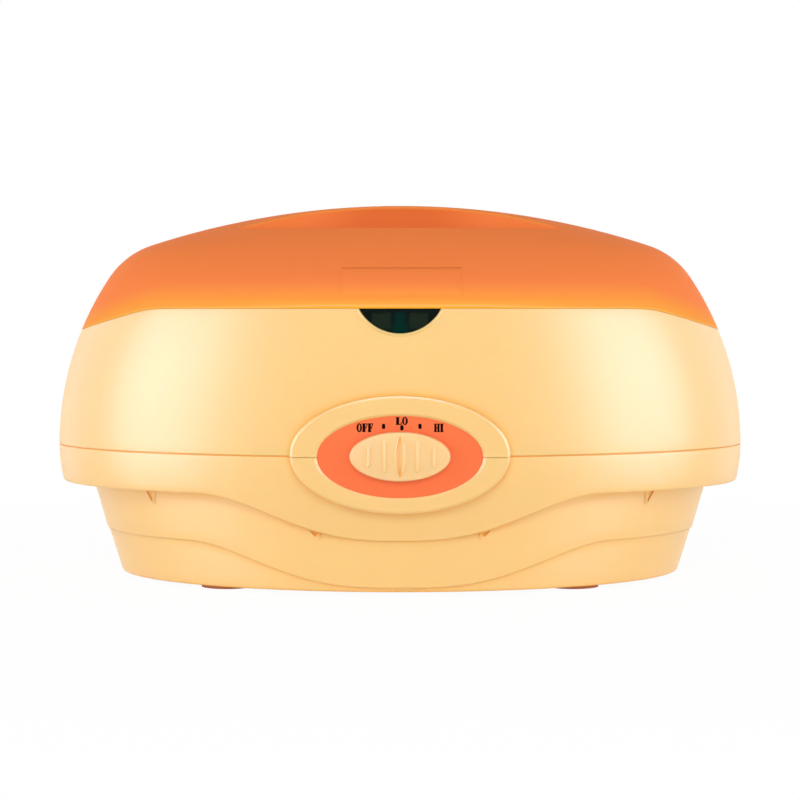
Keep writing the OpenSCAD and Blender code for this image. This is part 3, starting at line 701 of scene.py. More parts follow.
class WaxWarmerLook(bpy.types.PropertyGroup):
    """Colours of the mouldings."""

    housing: colour_property("Housing", "Colour of the two housing shells and the bezel", "#f8cc7c")
    housing_shade: colour_property("Housing shade", "Second, close tone of the housing", "#f6c978")
    # Painted sheen: the knob is given a paler colour than the housing
    knob: colour_property("Knob", "Colour of the sliding knob", "#fad29c")
    # Painted shade: the colour laid into the housing's creases
    housing_crease_shade: colour_property("Housing crease", "Colour deep in the housing's creases", "#fdb54c")
    lid: colour_property("Lid", "Colour of the lid away from its edge", "#fd8948")
    # Painted shade: the colour laid into the lid's creases
    lid_crease_shade: colour_property("Lid crease", "Colour deep in the lid's creases", "#e87a2c")
    # Painted shade: the colour laid on the handle's sides and on the pad's fine top line
    lid_handle_shade: colour_property("Lid handle", "Colour of the handle's sides", "#ea7438")
    # Painted highlight: the colour laid along the handle's top edge
    lid_ridge_highlight: colour_property("Lid ridge", "Colour of the handle's top edge", "#fc9448")
    # Painted glow: the colours of the lid's lower band, lighter where light from the collar behind comes
    # through
    painted_glow_fade: colour_property("Lid fade", "Lid colour just above the band", "#fd9547")
    painted_glow_upper: colour_property("Lid glow", "Lid colour in the upper part of the band", "#fd9c42")
    painted_glow_band: colour_property("Lid band", "Lid colour over the collar behind it", "#fda946")
    painted_glow_edge: colour_property("Lid edge", "Lid colour just over its lower edge", "#fdbe68")
    painted_glow_rim: colour_property("Lid rim", "Lid colour at its lower edge", "#ffb02c")
    dial: colour_property("Dial", "Colour of the dial plate", "#fd7337")


class WaxWarmerSizes(bpy.types.PropertyGroup):
    """Sizes of the mouldings' edges and of the camera's place."""

    edge: length_property("Edge rounding", "Rounding of the skirt's lower edge", 0.0010)
    seam: length_property("Seam gap", "Width of the groove between the two shells", 0.0005)
    pad_rise: length_property("Pad rise", "How far the label pad stands out of the lid", 0.0010)
    camera_distance: length_property("Camera distance", "From the housing's middle to the camera", 1.2)
    camera_height: length_property("Camera height", "Height of the camera above the floor", 0.1464)


# ---- lid ----

# The rings up the lid's side are level from this height
LEVEL_Z = 0.150
LIP_R = 0.0003
# Reach of the roundings at the scoops' rim, their floor and the handle, and where the floor lies, as
# shares of the gap between rim and handle
RIM_REACH, FLOOR_REACH, BAR_REACH = 0.0016, 0.006, 0.0022
FLOOR_FROM_RIM, FLOOR_FROM_BAR = 0.34, 0.2

# Blank pad on the front: crisp at its top, fading out at its sides and foot, with a fine line of painted
# shade on top
PAD_HALF_W = 0.0295
PAD_X = 0.0008
PAD_Z = (0.1450, 0.1583)
PAD_FADE = 0.0022
PAD_ROUND = 0.0008
PAD_TOP_EDGE = 0.15
PAD_SINK = 0.0015
LINE_H = 0.0005
LINE_OUT = 0.00004

# Towards the lid's ends the painted glow fades, as if higher above the edge, and its palest part narrows
GLOW_NARROWING, GLOW_NARROW_Z = 2.3, 0.002
GLOW_SIDE = (0.03, 0.10)
GLOW_END = (0.135, 0.170)
GLOW_END_RISE = 0.0010
# The handle's painted shade fades along it between these places and across the scoop over this share of it,
# and the painted highlight of the pale ridge runs along the handle's top edge
HANDLE_FADE, SCOOP_SHADE = (0.012, 0.052), 0.3
RIDGE_END, RIDGE_DROP, RIDGE_IN, RIDGE_OUT = 0.012, (-0.0016, -0.0008), 0.004, 0.0016


def lid_inner(t, z):
    """Point of the lid's inner skin, square in from the outer one."""
    turn, rise = 0.01, 0.0005
    along = skin(t + turn, z) - skin(t - turn, z)
    up = skin(t, z + rise) - skin(t, z - rise)
    return skin(t, z) - along.cross(up).normalized() * LID_WALL


def bar_at(x):
    """Half-thickness of the handle at a place along it; it reaches the rim at the scoops' ends."""
    return mix(BAR_HALF, level_y(SCOOP_HALF, SCOOP_RIM_Z), (x / SCOOP_HALF) ** 2)


def crown_column(x):
    """Points across the crown at x, from the rear of its foot to the front."""
    y_rim = level_y(x, SCOOP_RIM_Z)
    share = min(abs(x) / SCOOP_HALF, 1.0)
    y_bar = min(bar_at(x), y_rim) if share < 1 else y_rim
    gap = y_rim - y_bar
    rim_z = min(SCOOP_RIM_Z, crown_z(x, y_rim))
    floor_z = rim_z - SCOOP_DEPTH * (1 - share**2) ** SCOOP_FADE
    mid_z = (CROWN_FOOT_Z + SCOOP_RIM_Z) / 2
    y_mid = level_y(x, mid_z)
    half = [
        (level_y(x, CROWN_FOOT_Z), CROWN_FOOT_Z, None),
        (y_mid, min(mid_z, crown_z(x, y_mid)), None),
        (y_rim, rim_z, RIM_REACH),
        (y_rim - FLOOR_FROM_RIM * gap, floor_z, FLOOR_REACH),
        (y_bar + FLOOR_FROM_BAR * gap, floor_z, FLOOR_REACH),
        (y_bar, crown_z(x, y_bar), BAR_REACH),
    ]
    half += [(y_bar * f, crown_z(x, y_bar * f), None) for f in (0.85, 0.7, 0.55, 0.4, 0.27, 0.13)]
    line = rounded(half)
    return line + [Vector((0.0, crown_z(x, 0.0)))] + [Vector((-p.x, p.y)) for p in reversed(line)]


def lid_skin(bm, inside):
    """One skin of the lid: rings up its side and a crown with the two hand scoops."""
    point = lid_inner if inside else skin

    def edge_ring(t):
        return skin(t, split_z(t) + LID_GAP, LID_WALL)

    def side_ring(share):
        return lambda t: point(t, mix(split_z(t) + LID_GAP, LEVEL_Z, share))

    def level_ring(z):
        return lambda t: point(t, z)

    steps, levels = 12, 22
    rings = [side_ring((k / steps) ** 1.3) for k in range(steps + 1)]
    if inside:
        rings[0] = edge_ring
    rings += [level_ring(mix(LEVEL_Z, CROWN_FOOT_Z, (k + 1) / levels)) for k in range(levels)]
    edge_loop, _ = loft(bm, rings)

    columns = SEGMENTS // 2
    foot_half = half_at(SIDE, CROWN_FOOT_Z)
    lines = [crown_column(foot_half * math.cos(math.pi * i / columns)) for i in range(columns + 1)]
    rows = len(lines[0]) - 1

    def place(i, j):
        t = math.pi * i / columns
        if i in (0, columns) or j in (0, rows):
            return point(-t if j == rows else t, CROWN_FOOT_Z)
        y, z = lines[i][j]
        return Vector((foot_half * math.cos(t), y, z - (LID_WALL if inside else 0.0)))

    patch(bm, columns, rows, place)
    return edge_loop


def label_pad(bm, rise):
    """Blank raised pad on the front of the lid."""
    low, high = PAD_Z
    heights = [mix(low, high - PAD_ROUND, k / 10) for k in range(11)]
    heights += [high - 0.0004, high - 0.00015, high, high + 0.00008, high + LINE_H]
    width = 2 * PAD_HALF_W
    sides = [mix(0.0, PAD_FADE, k / 4) for k in range(5)]
    sides += [mix(PAD_FADE, width - PAD_FADE, k / 24) for k in range(1, 24)]
    sides += [width - PAD_FADE * (1 - k / 4) for k in range(5)]

    def place(i, j):
        across, z = sides[i], heights[j]
        x = PAD_X - PAD_HALF_W + across
        fade = smooth_step(0.0, PAD_FADE, min(across, width - across))
        fade *= smooth_step(0.0, PAD_FADE, z - low)
        top = max(arc_out(1.0, 1 - min((high - z) / PAD_ROUND, 1.0)), PAD_TOP_EDGE) if z <= high else 0.0
        return Vector((x, -level_y(x, z) - LINE_OUT - (rise - LINE_OUT) * fade * top, z))

    push(bm, patch(bm, len(sides) - 1, len(heights) - 1, place), PAD_SINK)


def mark_lid(piece):
    """Stores for each point its height for the painted glow, and its shares of painted shade and highlight.
    """
    heights, handle, ridge = [], [], []
    for v in piece.data.vertices:
        x, y, z = abs(v.co.x), abs(v.co.y - MIDDLE_Y), v.co.z
        rise = z - split_z(math.atan2(y / FRONT["half"], x / SIDE["half"]))
        # Height for the painted glow, narrowed near the edge at the sides and raised at the ends
        narrowing = GLOW_NARROWING * smooth_step(*GLOW_SIDE, x) * math.exp(-((rise / GLOW_NARROW_Z) ** 2))
        heights.append(rise * (1 + narrowing) + GLOW_END_RISE * smooth_step(*GLOW_END, x))

        # Share in the painted shade: the handle's sides, fading along it and across the scoop, and the pad's
        # fine top line
        past = y - bar_at(x)
        room = max(level_y(x, SCOOP_RIM_Z) - bar_at(x), MM)
        shade = (1 - smooth_step(*HANDLE_FADE, x)) * (1 - smooth_step(0.0, SCOOP_SHADE, past / room))
        on_line = 0 < z - PAD_Z[1] < 2 * LINE_H and y > level_y(x, z) + LINE_OUT / 2
        handle.append(1.0 if on_line else shade * (z > CROWN_FOOT_Z - SCOOP_DEPTH))

        # Share in the painted highlight along the handle's top edge
        along = 1 - smooth_step(SCOOP_HALF - RIDGE_END, SCOOP_HALF, x)
        at_side = smooth_step(-RIDGE_IN, 0.0, past) * (1 - smooth_step(0.0, RIDGE_OUT, past))
        ridge.append(along * at_side * smooth_step(*RIDGE_DROP, z - crown_z(x, y)))
    store(piece, "above_edge", heights)
    store(piece, "handle", handle)
    store(piece, "ridge", ridge)


class WAXWARMER_OT_lid(bpy.types.Operator):
    """Builds the lid: a thin domed shell with a handle between two hand scoops"""

    bl_idname = "wax_warmer.lid"
    bl_label = "Lid"

    def execute(self, context):
        bm = bmesh.new()
        rim = set(lid_skin(bm, False) + lid_skin(bm, True))
        edges = [e for e in bm.edges if e.is_boundary and set(e.verts) <= rim]
        bmesh.ops.bridge_loops(bm, edges=edges)
        clean(bm)
        lip = [e for e in creases(bm) if max(v.co.z for v in e.verts) < SPLIT_MID + 2 * LID_GAP]
        soften(bm, lip, LIP_R)
        lid = to_object(bm, "lid_shell")
        pad = bmesh.new()
        label_pad(pad, context.scene.wax_warmer_sizes.pad_rise)
        add_solids(lid, pad)
        mark_lid(lid)
        finish(lid, "lid", orange_polypropylene(), ["lid"])
        return {"FINISHED"}


# ---- housing ----

# A quarter round as shares of its radius, across and up, and its turns in degrees where it is larger
CORNER = ((1.0, 0.0), (0.62, 0.08), (0.29, 0.29), (0.08, 0.62), (0.0, 1.0))
EDGE_TURNS = (0, 22, 45, 67, 90)
HOLLOW_TURNS = (90, 60, 30, 0)

# Tongue and groove in the seam, and the roundings of the shells' edges
GROOVE_DEPTH, GROOVE_H, TONGUE_GAP, TONGUE_H = 0.0006, 0.0022, 0.0001, 0.0019
SEAM_R, LEDGE_R, COLLAR_R, HOLE_R = 0.0004, 0.0003, 0.0008, 0.0006
HOLLOW_R, STEP_R, FOOT_R = 0.0005, 0.0009, 0.0009

# Screw bosses, bar posts and vents
CASE_SCREW = (0.106, 0.062)
BAR_POST = (0.080, 0.079)
SCREW_POCKET_R, SCREW_POCKET_Z, SCREW_HOLE_R = 0.004, 0.048, 0.0022
BOSS_R, BOSS_FOOT_R, BOSS_JOINT_Z, POST_FOOT_Z = 0.0045, 0.0058, 0.060, 0.0461
BOSS_BORE, POST_BORE = 0.002, 0.0016
VENT_PITCH, VENT_HALF_W, VENT_HALF_L, VENT_TOP_Z = 0.012, 0.0015, 0.030, 0.008
# How far solids that are joined or cut run past each other, and a hair that keeps faces apart
OVERLAP, HAIR = 0.001, 0.0001
# The control's bore runs through the front wall between these places
BORE_Y = (-0.13, -0.1)

# Mains inlet's seat in the back wall
INLET_HALF = (0.0136, 0.0099)
FLANGE_T, FLANGE_GAP, CLEAR = 0.003, 0.0002, 0.01

# Lens's window: its gap round the lens and how far its cutter starts in front of the wall
LENS_GAP, LENS_CLEAR = 0.00015, 0.003
# Bead round the window: its width and rise, how far below the split it ends, how far its crest leans to
# the window, and how far its foot stands out of the wall
BEAD_W, BEAD_RISE, BEAD_END, BEAD_LEAN, BEAD_FOOT = 0.0014, 0.0005, 0.0006, 0.6, 0.00002

# Each moulding notch: outer, inner and lowest place across the front and its foot's height, then the
# two sides and the foot of the bright rib beside it
NOTCHES = (
    ((0.1269, 0.1229, 0.1230, 0.0425), (0.1228, 0.1215, 0.0417)),
    ((0.0436, 0.0395, 0.0407, 0.02895), (0.0391, 0.0384, 0.0278)),
)
NOTCH_DEPTH, NOTCH_OUT, NOTCH_FOOT_W = 0.0010, 0.004, 0.0002
# How far a rib runs up behind the skirt, and how far its two sides stand out at their tops and feet
RIB_UP, RIB_TOPS, RIB_FEET = 0.0005, (0.0010, 0.0004), (0.0010, 0.0003)


def level_at(level, t):
    """Height of a level, which is a number or follows the angle."""
    return level(t) if callable(level) else level


def at(level, inset=0.0, sizes=None):
    """A ring at a level, moved in by an inset: of the body's skin or of one of the base's steps."""

    def ring(t):
        z = level_at(level, t)
        return tapered(sizes, t, z, inset) if sizes else skin(t, z, inset)

    return ring


def above(level, rise):
    return lambda t: level_at(level, t) + rise


def between(low, high, share):
    return lambda t: mix(level_at(low, t), level_at(high, t), share)


def edge_round(level, radius, sizes=None):
    """A convex quarter round from a wall, down and in to its underside."""
    turns = [math.radians(a) for a in EDGE_TURNS]
    return [at(above(level, radius * (1 - math.sin(a))), radius * (1 - math.cos(a)), sizes) for a in turns]


def hollow_round(level, radius, sizes):
    """A concave quarter round from an underside down to the next wall."""
    turns = [math.radians(a) for a in HOLLOW_TURNS]
    return [at(above(level, -radius * (1 - math.sin(a))), -radius * (1 - math.cos(a)), sizes) for a in turns]


def upper_rings(seam_gap):
    """The upper shell's section: up its wall, over ledge and collar, round the deck and down inside."""
    foot = SEAM_Z + seam_gap / 2
    groove_z = foot + GROOVE_H
    under = DECK_Z - DECK_T
    lean = LEDGE + COLLAR_LEAN
    collar_top = above(split_z, COLLAR_H)
    rings = [at(foot + SEAM_R * dz, SEAM_R * dx) for dx, dz in CORNER]
    rings += [at(between(foot + SEAM_R, above(split_z, -LEDGE_R), k / 14)) for k in range(1, 15)]
    rings += [at(above(split_z, -LEDGE_R * dz), LEDGE_R * dx) for dx, dz in reversed(CORNER[:-1])]
    ledge = ((0.0, 0.0006), (0.0002, 0.0002), (0.0006, 0.0))
    rings += [at(above(split_z, up), LEDGE - out) for up, out in ledge]
    rings += [at(above(split_z, COLLAR_H * 0.5), mix(LEDGE, lean, 0.5))]
    rings += [at(above(collar_top, -COLLAR_R * dz), lean + COLLAR_R * dx) for dx, dz in reversed(CORNER)]
    rings += [at(above(collar_top, -COLLAR_R * dz), lean + COLLAR_T - COLLAR_R * dx) for dx, dz in CORNER]
    hollow = ((0.002, -0.0004), (0.0005, 0.0003), (0.0, 0.0018))
    rings += [at(DECK_Z + up, DECK_INSET + into) for up, into in hollow]
    for dx, dz in ((0.0, 1.0), (0.7, 0.7), (1.0, 0.0)):
        rings.append(flat_ring(grown(DECK_HOLE, HOLE_R * (1 - dx)), DECK_Z - HOLE_R * (1 - dz)))
    rings += [flat_ring(DECK_HOLE, under), at(under, DECK_INSET)]

    def under_z(t):
        return min(split_z(t) - WALL, under - HAIR)

    rings += [at(under_z, DECK_INSET), at(under_z, WALL)]
    rings += [at(between(under_z, groove_z, k / 4), WALL) for k in range(1, 5)]
    rings += [at(groove_z, GROOVE_DEPTH), at(foot, GROOVE_DEPTH), at(foot, SEAM_R)]
    return rings


def lower_rings(seam_gap, edge):
    """The lower shell's section: up inside, over the tongue and down the skirt and the two steps."""
    top = SEAM_Z - seam_gap / 2
    inner_skirt, inner_step = above(skirt_z, WALL), above(step_z, WALL)
    tongue_z = SEAM_Z + TONGUE_H
    tongue = GROOVE_DEPTH + TONGUE_GAP
    rings = [at(BASE_Z + WALL, WALL + 0.001, FOOT), at(inner_step, WALL, FOOT), at(inner_step, WALL, STEP)]
    rings += [at(inner_skirt, WALL, STEP), at(inner_skirt, WALL), at(between(inner_skirt, SEAM_Z, 0.5), WALL)]
    rings += [at(tongue_z, WALL), at(tongue_z, tongue), at(top, tongue)]
    rings += [at(top - SEAM_R * dz, SEAM_R * dx) for dx, dz in CORNER]
    rings += [at(between(top - SEAM_R, above(skirt_z, edge), k / 8)) for k in range(1, 8)]
    rings += edge_round(skirt_z, edge)
    for level, next_level, radius, sizes in ((skirt_z, step_z, STEP_R, STEP), (step_z, BASE_Z, FOOT_R, FOOT)):
        rings += hollow_round(level, HOLLOW_R, sizes)
        wall = (above(level, -HOLLOW_R), above(next_level, radius))
        rings += [at(between(*wall, k / 5), 0.0, sizes) for k in range(1, 5)]
        rings += edge_round(next_level, radius, sizes)
    return rings


def oval_prism(bm, half, y0, y1, segments=96):
    """An oval prism along Y round the control's middle."""
    points = bmesh.ops.create_circle(bm, cap_ends=True, radius=1, segments=segments)["verts"]
    for v in points:
        v.co = Vector((half[0] * v.co.x, y0, SEAM_Z + half[1] * v.co.y))
    push(bm, points, y1 - y0)


def half_moon(bm, grow, out, depth):
    """Half-moon that follows the front wall, from out in front of the skin to depth behind it."""
    columns, rows = 48, 12
    half = arc_out(LENS_R + grow, LENS_R - LENS_H - grow)
    top = SPLIT_MID + grow * 4

    def place(i, j):
        x = -half * math.cos(math.pi * i / columns)
        low = SPLIT_MID + (LENS_R - LENS_H) - arc_out(LENS_R + grow, x)
        z = mix(min(low, top), top, j / rows)
        return Vector((x, -level_y(x, z) - out, z))

    push(bm, patch(bm, columns, rows, place), out + depth)


def lens_bead(bm):
    """A fine raised bead on the front wall round the arc of the lens's window."""
    columns, rows = 64, 6
    inner = LENS_R + LENS_GAP
    reach = math.acos((LENS_R - LENS_H + BEAD_END) / inner)

    def place(i, j):
        turn = mix(-reach, reach, i / columns)
        across = inner + BEAD_W * j / rows
        x, z = across * math.sin(turn), SPLIT_MID + LENS_R - LENS_H - across * math.cos(turn)
        rise = BEAD_RISE * math.sin(math.pi * (j / rows) ** BEAD_LEAN) + BEAD_FOOT
        return Vector((x, -level_y(x, z) - rise, z))

    push(bm, patch(bm, columns, rows, place), MM)


def step_front(x, z, out):
    """A place on the front of the middle step, stood out of it."""
    half_w, half_d = [at_floor + lean * z for at_floor, lean in STEP]
    return Vector((x, -half_d * arc_out(1.0, x / half_w) - out, z))


def wedge(bm, side, corners, behind):
    """A solid on the middle step through four (x, z, out) corners, reaching a way behind its face."""
    faces = dict(zip(((-0.5, 0.5), (0.5, 0.5), (-0.5, -0.5), (0.5, -0.5)), corners))
    for v in bmesh.ops.create_cube(bm, size=1)["verts"]:
        x, z, out = faces[(v.co.x, v.co.z)]
        v.co = step_front(x, z, out if v.co.y < 0 else -behind)
        v.co.x *= side


def skirt_at(x):
    return skirt_z(math.acos(x / SIDE["half"])) - HAIR


def notch(bm, side, far, near, foot, foot_z):
    """Cutter for a three-sided pocket under the skirt."""
    tops = [(x, skirt_at(x), NOTCH_OUT) for x in (far, near)]
    feet = [(x, foot_z, NOTCH_OUT) for x in (foot + NOTCH_FOOT_W, foot)]
    wedge(bm, side, tops + feet, NOTCH_DEPTH)


def notch_rib(bm, side, outer, inner, foot_z):
    """The rib beside a notch; its face turns a little more to the front than the wall round it."""
    top = skirt_at(outer) + RIB_UP
    tops = [(x, top, out) for x, out in zip((outer, inner), RIB_TOPS)]
    feet = [(x, foot_z, out) for x, out in zip((outer, inner), RIB_FEET)]
    wedge(bm, side, tops + feet, OVERLAP)


class WAXWARMER_OT_upper_housing(bpy.types.Operator):
    """Builds the upper shell with its lid ledge, collar and tank deck"""

    bl_idname = "wax_warmer.upper_housing"
    bl_label = "Upper housing"

    def execute(self, context):
        bm = bmesh.new()
        loft(bm, upper_rings(context.scene.wax_warmer_sizes.seam))
        clean(bm)
        shell = to_object(bm, "upper_shell")
        bm = bmesh.new()
        oval_prism(bm, BEZEL_BORE, *BORE_Y)
        cut(shell, bm)
        bm = bmesh.new()
        half_moon(bm, LENS_GAP, LENS_CLEAR, LENS_T + LENS_RECESS)
        cut(shell, bm)
        bm = bmesh.new()
        lens_bead(bm)
        top = DECK_Z - OVERLAP
        for corner, bore, foot in ((CASE_SCREW, BOSS_BORE, BOSS_JOINT_Z), (BAR_POST, POST_BORE, POST_FOOT_Z)):
            for place in four(corner):
                tube(bm, place, ((bore, foot), (BOSS_R, foot), (BOSS_R, top), (bore, top)))
        add_solids(shell, bm)
        finish(shell, "housing", cream_abs(), ["upper_housing"])
        return {"FINISHED"}


class WAXWARMER_OT_lower_housing(bpy.types.Operator):
    """Builds the lower shell with its wavy skirt, two steps, vents and screw pockets"""

    bl_idname = "wax_warmer.lower_housing"
    bl_label = "Lower housing"

    def execute(self, context):
        sizes = context.scene.wax_warmer_sizes
        bm = bmesh.new()
        loft(bm, lower_rings(sizes.seam, sizes.edge))
        cap_holes(bm)
        clean(bm)
        shell = to_object(bm, "lower_shell")
        bm = bmesh.new()
        oval_prism(bm, BEZEL_BORE, *BORE_Y)
        for side in (-1, 1):
            for pocket, _ in NOTCHES:
                notch(bm, side, *pocket)
        peg = (FOOT_LOW + FOOT_HIGH) / 2
        for place in four(CASE_SCREW) + four((peg.x, abs(peg.y - MIDDLE_Y))):
            rod(bm, SCREW_POCKET_R, place, -OVERLAP, BASE_Z + WALL + OVERLAP)
        for k in range(-3, 4):
            x = k * VENT_PITCH
            low = (x - VENT_HALF_W, -VENT_HALF_L, -OVERLAP)
            box_solid(bm, low, (x + VENT_HALF_W, VENT_HALF_L, VENT_TOP_Z))
        cut(shell, bm)

        low_z, high_z = INLET_LOW.z, INLET_HIGH.z
        middle_z = (low_z + high_z) / 2
        back_y, face_y = INLET_LOW.y - MIDDLE_Y, INLET_HIGH.y - MIDDLE_Y
        body = (
            (-INLET_HALF[0], back_y - OVERLAP, middle_z - INLET_HALF[1]),
            (INLET_HALF[0], face_y, middle_z + INLET_HALF[1]),
        )
        seat = (
            (INLET_LOW.x - FLANGE_GAP, face_y - FLANGE_T, low_z - FLANGE_GAP),
            (INLET_HIGH.x + FLANGE_GAP, face_y + CLEAR, high_z + FLANGE_GAP),
        )
        for corners in (body, seat):
            bm = bmesh.new()
            box_solid(bm, *corners)
            cut(shell, bm)

        bm = bmesh.new()
        for side in (-1, 1):
            for _, rib in NOTCHES:
                notch_rib(bm, side, *rib)
        foot_z = BASE_Z + OVERLAP
        for place in four(CASE_SCREW):
            tube(bm, place, (
                (SCREW_POCKET_R, foot_z), (BOSS_FOOT_R, foot_z), (BOSS_FOOT_R, BOSS_JOINT_Z),
                (SCREW_HOLE_R, BOSS_JOINT_Z), (SCREW_HOLE_R, SCREW_POCKET_Z),
                (SCREW_POCKET_R, SCREW_POCKET_Z),
            ))
        add_solids(shell, bm)
        finish(shell, "housing", cream_abs(), ["lower_housing"])
        return {"FINISHED"}


# ---- control ----

# Bezel: its soft outer edge in shares inward and back, the flare at its foot, and the dial's chamfer
BEZEL_SOFT, BEZEL_FLARE, BEZEL_HOLLOW, CHAMFER = 0.0010, 0.0004, 0.0002, 0.0010
BEZEL_EDGE = ((0.0, 1.1), (0.03, 0.9), (0.15, 0.75), (1.1, 0.12), (1.25, 0.04), (1.45, 0.0))
BEZEL_SEAM_R = 0.0003
# The chamfer laps over the dial's edge: how far in, how far out of its face, and how deep its back is
LAP_IN, LAP_OUT, LAP_BACK = 0.00008, 0.00005, 0.0002
CONTROL_SEGMENTS = 192


def front_ring(half, y, rise=0.0):
    """A ring of the control, upright and facing the front, at a distance from the middle plane."""
    return lambda t: Vector((half[0] * math.cos(t), y, SEAM_Z + rise + half[1] * math.sin(t)))


def bezel_rings():
    """The bezel's section: soft outer edge, faintly hollow face, and a bright chamfer round the dial."""
    foot = front_ring(grown(BEZEL_HALF, BEZEL_FLARE), BEZEL_BACK_Y, BEZEL_RISE)
    face = [mix(BEZEL_HALF[k] - BEZEL_SOFT, WINDOW_HALF[k] + CHAMFER, 0.5) for k in (0, 1)]
    back_y = BEZEL_Y + BEZEL_T
    edge = [
        front_ring(grown(BEZEL_HALF, -inward * BEZEL_SOFT), BEZEL_Y + back * BEZEL_SOFT, BEZEL_RISE)
        for inward, back in BEZEL_EDGE
    ]
    return [
        foot,
        *edge,
        front_ring(face, BEZEL_Y + BEZEL_HOLLOW, BEZEL_RISE / 2),
        front_ring(grown(WINDOW_HALF, CHAMFER), BEZEL_Y + HAIR, DIAL_RISE),
        front_ring(grown(DIAL_HALF, -LAP_IN), DIAL_Y - LAP_OUT, DIAL_RISE),
        front_ring(WINDOW_HALF, DIAL_Y + LAP_BACK, DIAL_RISE),
        front_ring(WINDOW_HALF, back_y, DIAL_RISE),
        front_ring(BEZEL_BORE, back_y),
        front_ring(BEZEL_BORE, BEZEL_BACK_Y),
        foot,
    ]


class WAXWARMER_OT_bezel(bpy.types.Operator):
    """Builds the oval bezel round the dial, in two halves that meet at the seam"""

    bl_idname = "wax_warmer.bezel"
    bl_label = "Bezel"

    def execute(self, context):
        for name, up in (("bezel_upper", 1), ("bezel_lower", -1)):
            bm = bmesh.new()
            loft(bm, bezel_rings(), CONTROL_SEGMENTS)
            clean(bm)
            bmesh.ops.bisect_plane(
                bm, geom=[*bm.verts, *bm.edges, *bm.faces], dist=1e-7,
                plane_co=(0, 0, SEAM_Z + up * BEZEL_GAP / 2), plane_no=(0, 0, -up), clear_outer=True,
            )
            cap_holes(bm)
            clean(bm)
            rim = [e for e in creases(bm) if all(abs(v.co.z - SEAM_Z) < BEZEL_GAP for v in e.verts)]
            soften(bm, rim, BEZEL_SEAM_R, 2)
            clean(bm)
            finish(to_object(bm, name), "housing", bpy.data.materials["cream_abs"])
        return {"FINISHED"}


# Letters in a unit box: upright bars, thin arms and serifs, as x0, y0, x1, y1
STEM = (0.07, 0.07, 0.54, 0.93)
FOOT_SERIF = (0.0, 0.0, 0.62, 0.12)
HEAD_SERIF = (0.0, 0.88, 0.60, 1.0)
LETTERS = {
    "F": (
        STEM, FOOT_SERIF, (0.0, 0.90, 0.92, 1.0), (0.76, 0.66, 0.92, 0.93), (0.47, 0.46, 0.64, 0.57),
        (0.62, 0.34, 0.74, 0.68),
    ),
    "L": (STEM, HEAD_SERIF, (0.0, 0.0, 0.96, 0.10), (0.80, 0.07, 0.96, 0.36)),
    "I": (STEM, FOOT_SERIF, HEAD_SERIF),
}
LETTERS["H"] = [(0.35, 0.45, 0.68, 0.56)]
for move in (0.0, 0.57):
    LETTERS["H"] += [(x0 * 0.84 + move, y0, x1 * 0.84 + move, y1) for x0, y0, x1, y1 in LETTERS["I"]]
# How far a letter moves the next one on, where that isn't its width
ADVANCE = {"I": 0.72, "H": 1.16}
# Each mark: its letters, its lower left corner from the dial's middle, a letter's width and height
MARKS = (
    ("OFF", (-0.0207, 0.0122), (0.0027, 0.0041)),
    ("LO", (-0.0020, 0.0156), (0.0029, 0.0037)),
    ("HI", (0.0162, 0.0122), (0.0025, 0.0040)),
)
# The round letter's half-widths and half-heights, outside and inside
RINGS_OF_O = ((0.48, 0.52), (0.14, 0.40))
DOTS = ((-0.0078, 0.0149), (0.0009, 0.0142), (0.0095, 0.0149))
DOT_HALF = (0.00078, 0.00125)
DOT_SQUARENESS = 0.6
INK_T = 0.00006


def ink_bar(bm, x0, z0, x1, z1):
    points = bmesh.ops.create_grid(bm, x_segments=1, y_segments=1, size=0.5)["verts"]
    for v in points:
        v.co = Vector((mix(x0, x1, v.co.x + 0.5), DIAL_Y, mix(z0, z1, v.co.y + 0.5)))
    push(bm, points, -INK_T)


def ink_o(bm, x, z, width, height):
    """A bold round letter: thick at its sides and thin at its top and foot."""
    points = []
    for wide, tall in RINGS_OF_O:
        ring = bmesh.ops.create_circle(bm, cap_ends=False, radius=1, segments=32)["verts"]
        for v in ring:
            v.co = Vector((x + width * (0.5 + wide * v.co.x), DIAL_Y, z + height * (0.5 + tall * v.co.y)))
        points += ring
    bmesh.ops.bridge_loops(bm, edges=list({e for v in points for e in v.link_edges}))
    push(bm, points, -INK_T)


def dial_marks(bm):
    """Plain heat marks: three words and three dots, a hair proud of the dial."""
    for word, (x, z), (width, height) in MARKS:
        z += SEAM_Z
        for letter in word:
            if letter == "O":
                ink_o(bm, x, z, width, height)
            for x0, y0, x1, y1 in LETTERS.get(letter, ()):
                ink_bar(bm, x + x0 * width, z + y0 * height, x + x1 * width, z + y1 * height)
            x += width * ADVANCE.get(letter, 1.0)
    for x, z in DOTS:
        points = bmesh.ops.create_circle(bm, cap_ends=True, radius=1, segments=20)["verts"]
        for v in points:
            u, w = (math.copysign(abs(c) ** DOT_SQUARENESS, c) for c in v.co.xy)
            v.co = Vector((x + DOT_HALF[0] * u, DIAL_Y, SEAM_Z + z + DOT_HALF[1] * w))
        push(bm, points, -INK_T)


